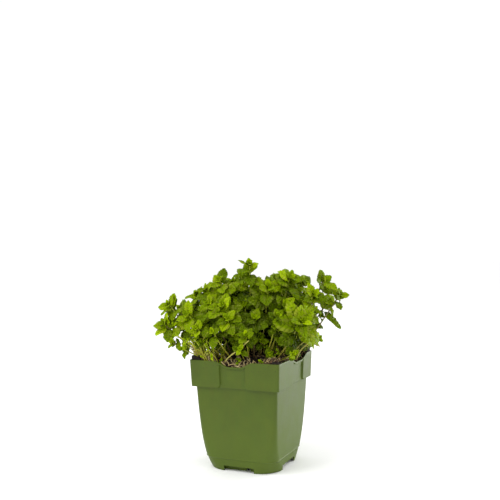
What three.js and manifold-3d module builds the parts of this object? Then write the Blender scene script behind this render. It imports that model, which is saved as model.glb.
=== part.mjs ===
// A young mint plant in a square plastic nursery pot: the pot, its potting soil, the leafy shoots that grow
// from it, and the dry stalks and the runner of old growth. Millimetres, +Z up, and the origin is on the
// ground under the pot's middle.
import * as THREE from "three";
import { mergeVertices } from "three/addons/utils/BufferGeometryUtils.js";
import Module from "manifold-3d";

const wasm = await Module();
wasm.setup();

// Collar of the pot
const POT_WIDTH = 110; // across the collar at the rim
const POT_HEIGHT = 131;
const COLLAR_HEIGHT = 31;
const COLLAR_DRAFT = 0.9; // how far the collar draws in towards its lower edge
const COLLAR_CORNER = 2.2; // radius of the collar's corners
const PANEL_DEPTH = 2.1; // how far the middle panel of each side is set back
const PANEL_SLANT = 0.5; // how far the walls beside that panel lean
const RIM_DIP = 6.2; // how far the rim drops in the middle of each side
const DIP_STEPS = 10;
const DIP_FULLNESS = 1.25; // above 1, the dip has a flat bottom
const DIP_EASE = 1.2; // above 1, it starts softly
const SHOULDER = POT_HEIGHT - COLLAR_HEIGHT;
const STEP = 0.2; // height of a ledge that is all but flat

// Body of the pot
const WALL = 1.2;
const BASE_HALF = 44.7; // half width of the body at the ground
const BODY_FLARE = 0.0745; // half width gained per millimetre of height
const BODY_BOW = 0.000185; // and lost again with the square of the height
const CORNER_TOP = 3.5; // corner radius under the collar
const CORNER_BASE_EXTRA = 24; // added to it at the ground
const CORNER_FADE = 21; // height over which that extra fades
const LEAST_CORNER = 0.8;
const ARC_STEPS = 4; // flats in each corner
const LEDGE_HEIGHT = 15; // the faint ledge round the foot of the body
const LEDGE_DEPTH = 0.35;
const OUTSIDE_LEVELS = [3, 8, LEDGE_HEIGHT - STEP, LEDGE_HEIGHT + STEP, 28, 45, 72];
const INSIDE_LEVELS = [60, 28];
const FOOT_ROUND = 0.8; // the outer edge that the pot stands on is eased this much
const FLOOR_HEIGHT = 8; // underside of the pot's floor
const FOOT_GAP_WIDTH = 38; // opening in the skirt in the middle of each side
const FOOT_GAP_HEIGHT = 6;
const RIB_HALF = 37; // half width of the square rib under the floor
const RIB_CORNER = 12;
const RIB_SLOT_WIDTH = 5;
const RIB_SLOT_HEIGHT = 5.5;
const RIB_SLOT_OFFSET = 9; // from the middle of the side
const DRAIN_RADIUS = 4;
const DRAIN_REACH = 27; // from the middle of the floor to a drain hole, both ways
const DRAIN_SIDES = 10;
const CUT = 12; // depth of the solids that cut openings
const PAST = 2; // how far those reach beyond the wall that they cut

// Each side's set-back panel, and the dip in the rim over it: where they start and end along the side.
const SIDES = [
  { turn: 0, panel: [-18, 14.5], dip: [-22, 22] },
  { turn: 90, panel: [-9, 25], dip: [-14, 37] },
  { turn: 180, panel: [-14, 16], dip: [-18, 22] },
  { turn: 270, panel: [-25, 9], dip: [-37, 14] },
];
const DRAINS = [[0, 0], [1, 1], [1, -1], [-1, 1], [-1, -1]];

// Soil
const GAP = 0.4; // between the soil and the pot
const SOCKET_GAP = 0.5; // from the corners of a stem to those of its socket in the soil
const SOIL_EDGE = 122; // height of the soil where it meets the pot
const SOIL_MOUND = 9; // how much higher it stands in the middle
const SOIL_HEAP = 8.5; // and how much higher it is heaped in the pot's corners
const HEAP_FROM = 0.42; // shares of the half width: where that heap starts, and where it is whole
const HEAP_TO = 0.92;
const SOIL_RINGS = [1, 0.8, 0.55, 0.28]; // shares of the way from the middle to the edge
const LUMP_HEIGHT = 0.9;
const ROOTED = 9; // how deep a stem's foot sits in the soil

// Stems
const VIEW_TURN = 23.75; // degrees that the plant's front is turned from the pot's
const ROOT_SHARE = 0.42; // a shoot's foot lies this far out from the middle, as a share of its tip
const ROOT_REACH = 46; // and never farther along a side than this
const KNEE_OUT = 0.5; // the stem bends at this share of the way out
const KNEE_UP = 0.42; // and this share of the way up
const STEM_FOOT = 1.25; // from a stem's middle to its corners, at the foot and at the tip
const STEM_TIP = 0.9;
const STEM_STEPS = 4;
const OLD_STEPS = 5;
const OLD_SIDES = 5;
const OLD_TAPER = 0.35;

// Leaves
const LEAF_THICK = 0.5; // half thickness at the midrib
const LEAF_BREADTH = 0.35; // half width as a share of length
const LEAF_FOLD = 12; // degrees that each half is folded up from flat
const LEAF_DROOP = 0.1; // how far the tip bends down, as a share of length
const SMALL_LEAF = 15; // a leaf shorter than this has one wide place, a longer one two
const SMALL_WIDTHS = [[0.45, 1]]; // a place along the leaf, and its share of the full width
const WIDTHS = [[0.33, 0.97], [0.66, 0.8]];
const DROOP_SHORTENS = 0.25;
const FAR_OUT = 60; // a shoot whose tip is this far out turns wholly away from the plant's middle
const TO_LIGHT = 1.8; // how strongly each shoot turns towards the light, which comes from the front
const NOD = 0.7; // how strongly its leaves nod the way that it turns
const LEAF_HANG = 10; // degrees that a leaf on that side hangs lower
const LEAF_FACE = 0.7; // how strongly a leaf turns its upper side that way
const UPWARD_FACE = 0.3; // and up
const CLEAR = 0.35; // least gap between two shoots

// How far single leaves stray from the rule: degrees round the stem, degrees of lift, and shares.
const STRAY = { around: 14, lift: 10, length: 0.12, breadth: 0.05, fold: 14, droop: 0.22 };

// Pairs of leaves from the tip of a shoot down: the place on the stem, degrees of lift, and the share of
// the shoot's full leaf length.

const PAIRS = [
  { at: 0.97, lift: 48, share: 0.8 },
  { at: 0.91, lift: 26, share: 1.0 },
  { at: 0.79, lift: 16, share: 1.0 },
  { at: 0.62, lift: 10, share: 0.85 },
];

// What a leaf tries in turn to keep clear of its neighbours: more turn, more lift, share of its length.
const TRIES = [
  [0, 0, 1],
  [0, 16, 1],
  [0, -16, 1],
  [22, 0, 1],
  [-22, 0, 1],
  [12, 30, 0.9],
  [-30, 20, 0.85],
  [30, -20, 0.8],
  [0, 0, 0.7],
  [-35, -15, 0.65],
  [25, 40, 0.6],
];

// Each shoot: its tip across, back and above the ground as seen from the plant's front, the length of its
// longest leaf, its pairs of leaves, and the turn of its top pair in degrees.
const SHOOTS = [
  // the crown of the plant
  [-2, 5, 236, 22, 4, 24],
  [-36, 5, 217, 24, 4, 75],
  [-21, 30, 214, 19, 4, 10],
  [27, 38, 216, 21, 4, 60],
  [44, 8, 219, 26, 4, 35],
  [62, 30, 213, 22, 4, 80],
  [-16, 12, 204, 22, 4, 45],
  // the right side
  [84, 14, 215, 25, 2, 159],
  [104, 12, 200, 17, 3, 40],
  [70, -8, 200, 24, 3, 15],
  [88, 20, 187, 27, 2, 114],
  [78, 4, 149, 12, 2, 30],
  // the broad rosette at the front right and its neighbours
  [54, -40, 174, 29, 4, 62],
  [19, -6, 208, 26, 4, 50],
  [30, -28, 164, 15, 3, 15],
  [29, -42, 182, 13, 3, 85],
  [45, -48, 139, 12, 2, 40],
  // the front
  [-7, -46, 160, 15, 3, 25],
  [-14, -50, 145, 11, 2, 70],
  [-44, -38, 163, 18, 2, 5],
  [-28, -36, 178, 18, 4, 40],
  [-62, -34, 167, 16, 3, 55],
  [10, -22, 150, 13, 2, 0],
  [18, -48, 139, 8, 2, 45],
  [3, -26, 176, 20, 4, 80],
  // the middle left
  [-32, -22, 190, 25, 4, 30],
  [-72, -17, 180, 24, 4, 60],
  [-52, 12, 207, 19, 4, 20],
  [-48, -8, 192, 20, 3, 85],
  [-65, 25, 201, 19, 4, 50],
  // the left side
  [-96, 3, 191, 20, 4, 24],
  [-101, -8, 169, 19, 4, 20],

  [-92, -22, 150, 11, 2, 75],
  [-80, -36, 145, 10, 2, 0],
  [-84, 20, 184, 19, 3, 35],
  // the heart
  [8, 22, 200, 22, 4, 65],
  [-8, -8, 190, 20, 3, 0],
  [38, -14, 190, 20, 3, 75],
  [52, 14, 194, 22, 3, 55],
  // the back
  [20, 50, 204, 22, 4, 15],
  [-12, 54, 207, 22, 4, 70],
  [-42, 50, 198, 21, 4, 30],
  [48, 42, 194, 21, 4, 85],
  [66, 21, 180, 20, 4, 45],
  [-70, 50, 178, 19, 4, 5],
  [30, 52, 176, 20, 4, 50],
  [2, 62, 182, 20, 4, 80],
  [-30, 68, 174, 20, 4, 20],
  [-56, 64, 160, 18, 3, 60],
  [10, 58, 154, 14, 2, 35],
  [-20, 64, 150, 13, 2, 75],
];

// Old growth, each with the points that it follows: across, back and up, as above.
const OLD_GROWTH = [
  {
    name: "dry_stalk_1",
    radius: 1,
    path: [[-37, -35, 121], [-28.3, -39, 133.5], [-16, -45, 144], [-4, -51, 155]],
  },
  {
    name: "dry_stalk_2",
    radius: 0.9,
    path: [[40, -14, 122], [48, -13, 136], [57, -12, 145], [69, -12, 152]],
  },
  { name: "dry_stalk_3", radius: 1.0, path: [[-58, -14, 122], [-61, -18, 134], [-59, -24, 145]] },
  { name: "dry_stalk_4", radius: 0.9, path: [[26, 38, 123], [28, 41, 136], [33, 44, 148]] },
  { name: "old_runner", radius: 1.1, path: [[50, -6, 124], [57, -8, 138], [67, -9, 145], [78, -12, 142]] },
];

const FINISHES = {
  pot: { color: 0x64763a, roughness: 0.5 },
  soil: { color: 0x2b1d16, roughness: 0.95 },
  shoot: { color: 0x7fa01c, roughness: 0.55 },
  old: { color: 0xa88a5c, roughness: 0.85 },
};

const SAME_POINT = 1e-4; // points nearer than this are one
const STRAIGHTEN = 0.04; // triangles that depart from flat by less than this are joined

const radians = THREE.MathUtils.degToRad;

// A steady number from 0 to 1 that looks random, for three whole numbers.
function chance(a, b, c) {
  const x = Math.sin(a * 12.9898 + b * 78.233 + c * 37.719) * 43758.5453;
  return x - Math.floor(x);
}

function stray(number, leaf, kind, size) {
  return (2 * chance(number, leaf, kind) - 1) * size;
}

// A point seen from the plant's front, in the pot's frame.
function fromFront([across, back, up]) {
  return new THREE.Vector3(across, back, up).applyAxisAngle(new THREE.Vector3(0, 0, 1), radians(VIEW_TURN));
}

function toSolid(geometry) {
  const plain = new THREE.BufferGeometry();
  plain.setAttribute("position", geometry.getAttribute("position"));
  plain.setIndex(geometry.index);
  const merged = mergeVertices(plain, SAME_POINT);
  const mesh = new wasm.Mesh({
    numProp: 3,
    vertProperties: new Float32Array(merged.getAttribute("position").array),
    triVerts: new Uint32Array(merged.index.array),
  });
  return new wasm.Manifold(mesh);
}

function toGeometry(solid) {
  const mesh = solid.getMesh();
  const geometry = new THREE.BufferGeometry();
  geometry.setAttribute("position", new THREE.BufferAttribute(mesh.vertProperties, 3));
  geometry.setIndex(new THREE.BufferAttribute(mesh.triVerts, 1));
  geometry.computeVertexNormals();
  return geometry;
}

// A closed skin over rings of points. A ring inside the stack has as many points as the next; the first and
// the last may be a single point, and are capped when they aren't.
function loft(rings) {
  const index = [];
  const cap = (start, count, upward) => {
    for (let i = 1; i + 1 < count; i++) {
      index.push(start, start + i + (upward ? 0 : 1), start + i + (upward ? 1 : 0));
    }
  };
  let start = 0;
  cap(start, rings[0].length, false);
  for (let r = 0; r + 1 < rings.length; r++) {
    const [low, high] = [rings[r].length, rings[r + 1].length];
    const next = start + low;
    const around = Math.max(low, high);
    for (let i = 0; i < around; i++) {
      const j = (i + 1) % around;
      if (low > 1) index.push(start + i, start + j, next + (high > 1 ? j : 0));
      if (high > 1) index.push(start + (low > 1 ? i : 0), next + j, next + i);
    }
    start = next;
  }
  cap(start, rings.at(-1).length, true);
  const geometry = new THREE.BufferGeometry().setFromPoints(rings.flat());
  geometry.setIndex(index);
  return toSolid(geometry);
}

// A round-cornered square at one height, counter-clockwise from above, with a set-back panel in each side.
// Where the corners are so round that they reach a panel, it ends short of them.
function squareRing(half, corner, depth, z, inset = 0) {
  const ring = [];
  const radius = Math.max(corner, LEAST_CORNER);
  const reach = half - radius - PANEL_SLANT;
  for (const { turn, panel } of SIDES) {
    const put = (x, y) => {
      ring.push(new THREE.Vector3(x, y, z).applyAxisAngle(new THREE.Vector3(0, 0, 1), radians(turn)));
    };
    const from = Math.max(panel[0] - inset, -reach);
    const to = Math.min(panel[1] + inset, reach);
    put(from, -half);
    put(from + PANEL_SLANT, -half + depth);
    put(to - PANEL_SLANT, -half + depth);
    put(to, -half);
    for (let i = 0; i <= ARC_STEPS; i++) {
      const angle = ((i / ARC_STEPS - 1) * Math.PI) / 2;
      put(half - radius + radius * Math.cos(angle), -half + radius + radius * Math.sin(angle));
    }
  }
  return ring;
}

function bodyRing(z, inset) {
  const ledge = z < LEDGE_HEIGHT ? LEDGE_DEPTH : 0;
  const half = BASE_HALF + BODY_FLARE * z - BODY_BOW * z * z - ledge;
  const corner = CORNER_TOP + CORNER_BASE_EXTRA * Math.exp(-z / CORNER_FADE);
  return squareRing(half - inset, corner - inset, 0, z);
}

function collarRing(z, inset) {
  const half = POT_WIDTH / 2 - (COLLAR_DRAFT * (POT_HEIGHT - z)) / COLLAR_HEIGHT;
  return squareRing(half - inset, COLLAR_CORNER - inset, PANEL_DEPTH, z, inset);
}

// One skin: out under the floor, down inside the skirt, up the outside, over the rim and down the inside.
function potShell() {
  const floorTop = FLOOR_HEIGHT + WALL;
  return loft([
    [new THREE.Vector3(0, 0, FLOOR_HEIGHT)],
    bodyRing(FLOOR_HEIGHT, WALL),
    bodyRing(0, FOOT_ROUND + WALL),
    bodyRing(0, FOOT_ROUND),
    bodyRing(FOOT_ROUND, 0),
    ...OUTSIDE_LEVELS.map((z) => bodyRing(z, 0)),
    bodyRing(SHOULDER - STEP, 0),
    collarRing(SHOULDER, 0),
    collarRing(POT_HEIGHT, 0),
    collarRing(POT_HEIGHT, WALL),
    collarRing(SHOULDER + WALL, WALL),
    bodyRing(SHOULDER + WALL - STEP, WALL),
    ...INSIDE_LEVELS.map((z) => bodyRing(z, WALL)),
    bodyRing(floorTop, WALL),
    [new THREE.Vector3(0, 0, floorTop)],
  ]);
}

// What cuts the smooth dip in the rim of one side.
function dipCutter({ turn, dip }) {
  const [from, to] = dip;
  const top = POT_HEIGHT + PAST;
  const outline = [new THREE.Vector2(to, top), new THREE.Vector2(from, top)];
  for (let i = 1; i < DIP_STEPS; i++) {
    const share = i / DIP_STEPS;
    const fall = Math.min(1, DIP_FULLNESS * Math.sin(Math.PI * share) ** DIP_EASE);
    outline.push(new THREE.Vector2(from + (to - from) * share, POT_HEIGHT - RIM_DIP * fall));
  }
  const geometry = new THREE.ExtrudeGeometry(new THREE.Shape(outline), { depth: CUT, bevelEnabled: false });
  geometry.rotateX(Math.PI / 2);
  geometry.translate(0, (CUT - POT_WIDTH) / 2, 0);
  geometry.rotateZ(radians(turn));
  return toSolid(mergeVertices(geometry.deleteAttribute("normal").deleteAttribute("uv"), SAME_POINT));
}

// What cuts an opening that stands on the ground, in a wall of one side.
function groundCutter(turn, x, y, width, height) {
  const geometry = new THREE.BoxGeometry(width, CUT, height + PAST);
  geometry.translate(x, y, (height - PAST) / 2);
  geometry.rotateZ(radians(turn));
  return toSolid(geometry);
}

function drainCutter([x, y]) {
  const geometry = new THREE.CylinderGeometry(DRAIN_RADIUS, DRAIN_RADIUS, CUT / 2, DRAIN_SIDES);
  geometry.rotateX(Math.PI / 2);
  geometry.translate(x * DRAIN_REACH, y * DRAIN_REACH, FLOOR_HEIGHT);
  return toSolid(geometry);
}

// The square rib that the middle of the pot stands on, with a slot in each side.
function innerRib() {
  const top = FLOOR_HEIGHT + WALL / 2;
  const block = (inset, low, high) =>
    loft([low, high].map((z) => squareRing(RIB_HALF - inset, RIB_CORNER - inset, 0, z)));
  const rib = block(0, 0, top).subtract(block(WALL, -PAST, top + PAST));
  return SIDES.reduce(
    (solid, { turn }) =>
      solid.subtract(groundCutter(turn, RIB_SLOT_OFFSET, -RIB_HALF, RIB_SLOT_WIDTH, RIB_SLOT_HEIGHT)),
    rib,
  );
}

function potSolid() {
  let pot = potShell();
  for (const side of SIDES) {
    pot = pot.subtract(dipCutter(side));
    pot = pot.subtract(groundCutter(side.turn, 0, -BASE_HALF, FOOT_GAP_WIDTH, FOOT_GAP_HEIGHT));
  }
  pot = pot.add(innerRib());
  return DRAINS.reduce((solid, place) => solid.subtract(drainCutter(place)), pot);
}

// Height of the soil's surface at a place: a mound with a few low lumps.
function soilTop(x, y) {
  const out = Math.min(1, (2 * Math.max(Math.abs(x), Math.abs(y))) / POT_WIDTH);
  const lumps = Math.sin(x * 0.21 + 1) * Math.cos(y * 0.19) + 0.6 * Math.sin(x * 0.11 - y * 0.16 + 2);
  return SOIL_EDGE + SOIL_MOUND * (1 - out ** 3) + LUMP_HEIGHT * lumps * (1 - out ** 6);
}

// What the heap in the nearest corner adds to the soil at a place.
function soilHeap(x, y) {
  const corner = (2 * Math.min(Math.abs(x), Math.abs(y))) / POT_WIDTH;
  return SOIL_HEAP * THREE.MathUtils.smoothstep(corner, HEAP_FROM, HEAP_TO);
}

function soilBlock() {
  const inset = WALL + GAP;
  const edge = collarRing(SOIL_EDGE, inset);
  const top = SOIL_RINGS.map((share) =>
    edge.map(({ x, y }) => {
      const height = share === 1 ? SOIL_EDGE : soilTop(x * share, y * share);
      return new THREE.Vector3(x * share, y * share, height + soilHeap(x * share, y * share));
    }),
  );
  return loft([
    bodyRing(FLOOR_HEIGHT + inset, inset),
    ...INSIDE_LEVELS.toReversed().map((z) => bodyRing(z, inset)),
    bodyRing(SHOULDER + inset - STEP, inset),
    collarRing(SHOULDER + inset, inset),
    ...top,
    [new THREE.Vector3(0, 0, soilTop(0, 0))],
  ]);
}

// Two directions square to a stem, the first as near to +X as it can be.
function sideways(along) {
  const first = new THREE.Vector3(1, 0, 0).addScaledVector(along, -along.x).normalize();
  return [first, along.clone().cross(first)];
}

// A mint stem rises from its foot in the soil and bends out to its tip. It is square, with a flat towards
// each of its leaves.
function mintStem({ tip, turn }) {
  const end = fromFront(tip);
  const root = end.clone().setZ(0).multiplyScalar(ROOT_SHARE);
  root.multiplyScalar(Math.min(1, ROOT_REACH / Math.max(Math.abs(root.x), Math.abs(root.y))));
  root.z = soilTop(root.x, root.y) - ROOTED;
  const knee = root.clone().lerp(end, KNEE_OUT);
  knee.z = root.z + (end.z - root.z) * KNEE_UP;
  const facing = end.clone().setZ(0).divideScalar(Math.max(FAR_OUT, Math.hypot(end.x, end.y)));
  facing.addScaledVector(fromFront([0, -1, 0]), TO_LIGHT).normalize();
  return {
    facing,
    curve: new THREE.QuadraticBezierCurve3(root, knee, end),
    steps: STEM_STEPS,
    sides: 4,
    radiusAt: (t) => STEM_FOOT + (STEM_TIP - STEM_FOOT) * t,
    corner: radians(turn + 45),
  };
}

function oldStem({ radius, path }) {
  return {
    curve: new THREE.CatmullRomCurve3(path.map(fromFront)),
    steps: OLD_STEPS,
    sides: OLD_SIDES,
    radiusAt: (t) => radius * (1 - OLD_TAPER * t),
    corner: 0,
  };
}

// The solid of a stem. With more than nothing for wider, it is the socket that the stem needs in the soil.
function stemSolid({ curve, steps, sides, radiusAt, corner }, wider = 0) {
  const rings = [];
  for (let i = 0; i <= steps; i++) {
    const t = i / steps;
    const along = curve.getTangent(t);
    const middle = curve.getPoint(t).addScaledVector(along, i === 0 ? -wider : 0);
    const [first, second] = sideways(along);
    const radius = radiusAt(t) + wider;
    const ring = [];
    for (let k = 0; k < sides; k++) {
      const angle = corner + (2 * Math.PI * k) / sides;
      const point = middle.clone().addScaledVector(first, radius * Math.cos(angle));
      ring.push(point.addScaledVector(second, radius * Math.sin(angle)));
    }
    rings.push(ring);
  }
  return loft(rings);
}

// Where one leaf springs from its stem, how it lies, and its size.
function leafPlan({ shoot, plan }, number, pair, side, [moreTurn, moreLift, lengthShare]) {
  const { at, lift, share } = PAIRS[pair];
  const leaf = pair * 2 + side;
  const ownTurn = shoot.turn + pair * 90 + side * 180 + stray(number, leaf, 1, STRAY.around);
  const around = radians(ownTurn + moreTurn);
  const along = plan.curve.getTangent(at).addScaledVector(plan.facing, NOD).normalize();
  const [first, second] = sideways(along);
  const out = first.multiplyScalar(Math.cos(around)).addScaledVector(second, Math.sin(around));
  const hang = LEAF_HANG * Math.max(0, out.dot(plan.facing));
  const raised = radians(lift + stray(number, leaf, 2, STRAY.lift) + moreLift - hang);
  const direction = out.clone().multiplyScalar(Math.cos(raised)).addScaledVector(along, Math.sin(raised));
  const upper = along.clone().multiplyScalar(Math.cos(raised)).addScaledVector(out, -Math.sin(raised));
  upper.addScaledVector(plan.facing, LEAF_FACE);
  upper.z += UPWARD_FACE;
  const across = direction.clone().cross(upper).normalize();
  const length = shoot.size * share * (1 + stray(number, leaf, 3, STRAY.length)) * lengthShare;
  return {
    base: plan.curve.getPoint(at),
    direction,
    across,
    upper: across.clone().cross(direction),
    length,
    half: length * (LEAF_BREADTH + STRAY.breadth * chance(number, leaf, 4)),
    fold: radians(LEAF_FOLD + STRAY.fold * chance(number, leaf, 5)),
    droop: LEAF_DROOP + STRAY.droop * chance(number, leaf, 6),
  };
}

// A point of a leaf: a share of its length out, a distance sideways up the folded blade, and one above it.
function leafPoint(leaf, share, sideway, above) {
  return leaf.base
    .clone()
    .addScaledVector(leaf.direction, leaf.length * share * (1 - DROOP_SHORTENS * leaf.droop * share))
    .addScaledVector(leaf.upper, -leaf.length * leaf.droop * share * share)
    .addScaledVector(leaf.across, sideway * Math.cos(leaf.fold))
    .addScaledVector(leaf.upper, Math.abs(sideway) * Math.sin(leaf.fold) + above);
}

// A lens with knife edges, from a point inside the stem through the wide places of the blade to the tip.
function leafSolid(leaf) {
  const places = leaf.length < SMALL_LEAF ? SMALL_WIDTHS : WIDTHS;
  const section = ([share, part]) => [
    leafPoint(leaf, share, -leaf.half * part, 0),
    leafPoint(leaf, share, 0, LEAF_THICK),
    leafPoint(leaf, share, leaf.half * part, 0),
    leafPoint(leaf, share, 0, -LEAF_THICK),
  ];
  return loft([[leaf.base], ...places.map(section), [leafPoint(leaf, 1, 0, 0)]]);
}

function tooNear(a, b) {
  const [one, other] = [a.boundingBox(), b.boundingBox()];
  const beyond = (i) => one.min[i] > other.max[i] + CLEAR || other.min[i] > one.max[i] + CLEAR;
  const apart = [0, 1, 2].some(beyond);
  return !apart && a.minGap(b, 2 * CLEAR) < CLEAR;
}

// Every stem first, then the leaves from the tips down, each in the first of its tries that stays clear.
function growShoots(obstacles) {
  const plants = SHOOTS.map(([across, back, up, size, pairs, turn]) => {
    const shoot = { tip: [across, back, up], size, pairs, turn };
    const plan = mintStem(shoot);
    return { shoot, plan, solids: [stemSolid(plan)] };
  });
  const clear = (leaf, own) => {
    const others = plants.filter((plant) => plant !== own).flatMap((plant) => plant.solids);
    return ![...obstacles, ...others].some((other) => tooNear(leaf, other));
  };
  PAIRS.forEach((_, pair) => {
    plants.forEach((plant, number) => {
      if (pair >= plant.shoot.pairs) return;
      for (const side of [0, 1]) {
        const leaf = TRIES.values()
          .map((attempt) => leafSolid(leafPlan(plant, number, pair, side, attempt)))
          .find((solid) => clear(solid, plant));
        if (leaf) plant.solids.push(leaf);
      }
    });
  });
  return plants;
}

const group = new THREE.Group();

function addPiece(name, solid, finish) {
  const material = new THREE.MeshStandardMaterial({ metalness: 0, ...finish });
  const mesh = new THREE.Mesh(toGeometry(solid), material);
  mesh.name = name;
  group.add(mesh);
}

const pot = potSolid();
const block = soilBlock();
const oldGrowth = OLD_GROWTH.map((stalk) => {
  const plan = oldStem(stalk);
  return { name: stalk.name, plan, solid: stemSolid(plan) };
});
const plants = growShoots([pot, block, ...oldGrowth.map(({ solid }) => solid)]);
const soil = [...plants, ...oldGrowth].reduce(
  (solid, { plan }) => solid.subtract(stemSolid(plan, SOCKET_GAP)),
  block,
);

addPiece("pot", pot.asOriginal().simplify(STRAIGHTEN / 4), FINISHES.pot);
addPiece("potting_soil", soil.asOriginal().simplify(STRAIGHTEN / 2), FINISHES.soil);
for (const { name, solid } of oldGrowth) addPiece(name, solid, FINISHES.old);
plants.forEach(({ solids }, i) => {
  const shoot = wasm.Manifold.union(solids).asOriginal().simplify(STRAIGHTEN);
  addPiece("mint_shoot_" + String(i + 1).padStart(2, "0"), shoot, FINISHES.shoot);
});

export default group;
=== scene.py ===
import math
import random
from functools import partial

import bpy
import numpy as np
from mathutils import Matrix, Vector, noise


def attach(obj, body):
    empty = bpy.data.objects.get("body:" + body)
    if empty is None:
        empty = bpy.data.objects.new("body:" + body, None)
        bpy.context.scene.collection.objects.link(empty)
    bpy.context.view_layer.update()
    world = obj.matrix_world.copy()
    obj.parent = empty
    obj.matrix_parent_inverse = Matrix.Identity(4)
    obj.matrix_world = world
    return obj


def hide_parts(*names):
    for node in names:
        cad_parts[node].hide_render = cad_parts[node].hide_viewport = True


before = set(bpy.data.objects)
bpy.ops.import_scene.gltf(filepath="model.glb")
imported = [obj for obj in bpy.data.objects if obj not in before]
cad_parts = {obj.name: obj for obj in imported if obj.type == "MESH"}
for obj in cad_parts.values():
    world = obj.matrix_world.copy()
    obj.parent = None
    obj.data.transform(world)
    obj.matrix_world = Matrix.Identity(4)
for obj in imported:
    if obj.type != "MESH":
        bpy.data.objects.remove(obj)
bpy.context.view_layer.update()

MM = 0.001


def add_object(name, data):
    made = bpy.data.objects.new(name, data)
    bpy.context.scene.collection.objects.link(made)
    return made


# The camera
VIEW_TURN = 23.75  # degrees that the plant's front is turned from the pot's
VIEW_UP = 11.11  # degrees that the camera looks down
VIEW_FAR = 892.6
VIEW_ROLL = -0.835
VIEW_TARGET = 99.5  # height of the point that it is aimed at
LENS = 54.14
FRAME_SHIFT = (-0.006, 0.262)  # the photograph holds the plant low in its frame


def camera():
    turn, up = math.radians(VIEW_TURN), math.radians(VIEW_UP)
    back = Vector((math.sin(turn) * math.cos(up), -math.cos(turn) * math.cos(up), math.sin(up)))
    data = bpy.data.cameras.new("camera")
    data.lens, data.sensor_width = LENS, 36
    data.shift_x, data.shift_y = FRAME_SHIFT
    data.clip_start = 0.01
    seen_by = add_object("camera", data)
    place = Vector((0, 0, VIEW_TARGET * MM)) + back * VIEW_FAR * MM
    turned = back.to_track_quat("Z", "Y").to_matrix().to_4x4()
    roll = Matrix.Rotation(math.radians(VIEW_ROLL), 4, "Z")
    seen_by.matrix_world = Matrix.Translation(place) @ turned @ roll
    bpy.context.scene.camera = seen_by


camera()

# Small tools


def linear(colour):
    """An sRGB hex colour as linear red, green, blue and alpha."""
    value = int(colour.lstrip("#"), 16)
    shares = [((value >> shift) & 255) / 255 for shift in (16, 8, 0)]
    return [c / 12.92 if c <= 0.04045 else ((c + 0.055) / 1.055) ** 2.4 for c in shares] + [1.0]


def add_node(material, kind, inputs=None, stops=(), **settings):
    """One node: what feeds its inputs, a ramp's colours, and its settings. An input goes by its name or its
    number: 0, 1 and 2 in a sum, 0, 6 and 7 in a mix of colours (share, under, over), and 0 to 4 in a range
    (value, from low, from high, to low, to high). It takes a value, an output, or a node's first output."""
    node = material.node_tree.nodes.new("ShaderNode" + kind)
    for name, value in settings.items():
        setattr(node, name, value)
    for name, value in (inputs or {}).items():
        if isinstance(value, bpy.types.Node):
            value = next(output for output in value.outputs if output.enabled)
        if isinstance(value, bpy.types.NodeSocket):
            material.node_tree.links.new(value, node.inputs[name])
        else:
            node.inputs[name].default_value = value
    if stops:
        ramp = node.color_ramp.elements
        while len(ramp) < len(stops):
            ramp.new(0.5)
        for element, (place, colour) in zip(ramp, stops):
            element.position, element.color = place, linear(colour)
    return node


def new_material(name):
    """An empty material, the function that adds a node to it, and the place of each point on its surface."""
    material = bpy.data.materials.new(name)
    material.use_nodes = True
    material.node_tree.nodes.clear()
    node = partial(add_node, material)
    return material, node, node("TexCoord").outputs["Object"]


def per_metre(size):
    """The scale of a pattern whose features are this many millimetres across."""
    return 1 / (size * MM)


def chance(a, b, c):
    """A steady number from 0 to 1 that looks random, for three whole numbers."""
    x = math.sin(a * 12.9898 + b * 78.233 + c * 37.719) * 43758.5453
    return x - math.floor(x)


def stray(number, leaf, kind, size):
    return (2 * chance(number, leaf, kind) - 1) * size


def unit(v):
    return v / np.linalg.norm(v)


def circle(steps):
    """Points round a circle of radius 1, on the floor."""
    angles = np.linspace(0, 2 * math.pi, steps, endpoint=False)
    return np.stack([np.cos(angles), np.sin(angles), 0 * angles], 1)


def smooth(low, high, x):
    t = np.clip((x - low) / (high - low), 0, 1)
    return t * t * (3 - 2 * t)


def from_front(point):
    """A point seen from the plant's front, in the pot's frame."""
    turn = math.radians(VIEW_TURN)
    across, back, up = point
    return np.array([
        across * math.cos(turn) - back * math.sin(turn),
        across * math.sin(turn) + back * math.cos(turn),
        up,
    ])


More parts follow.
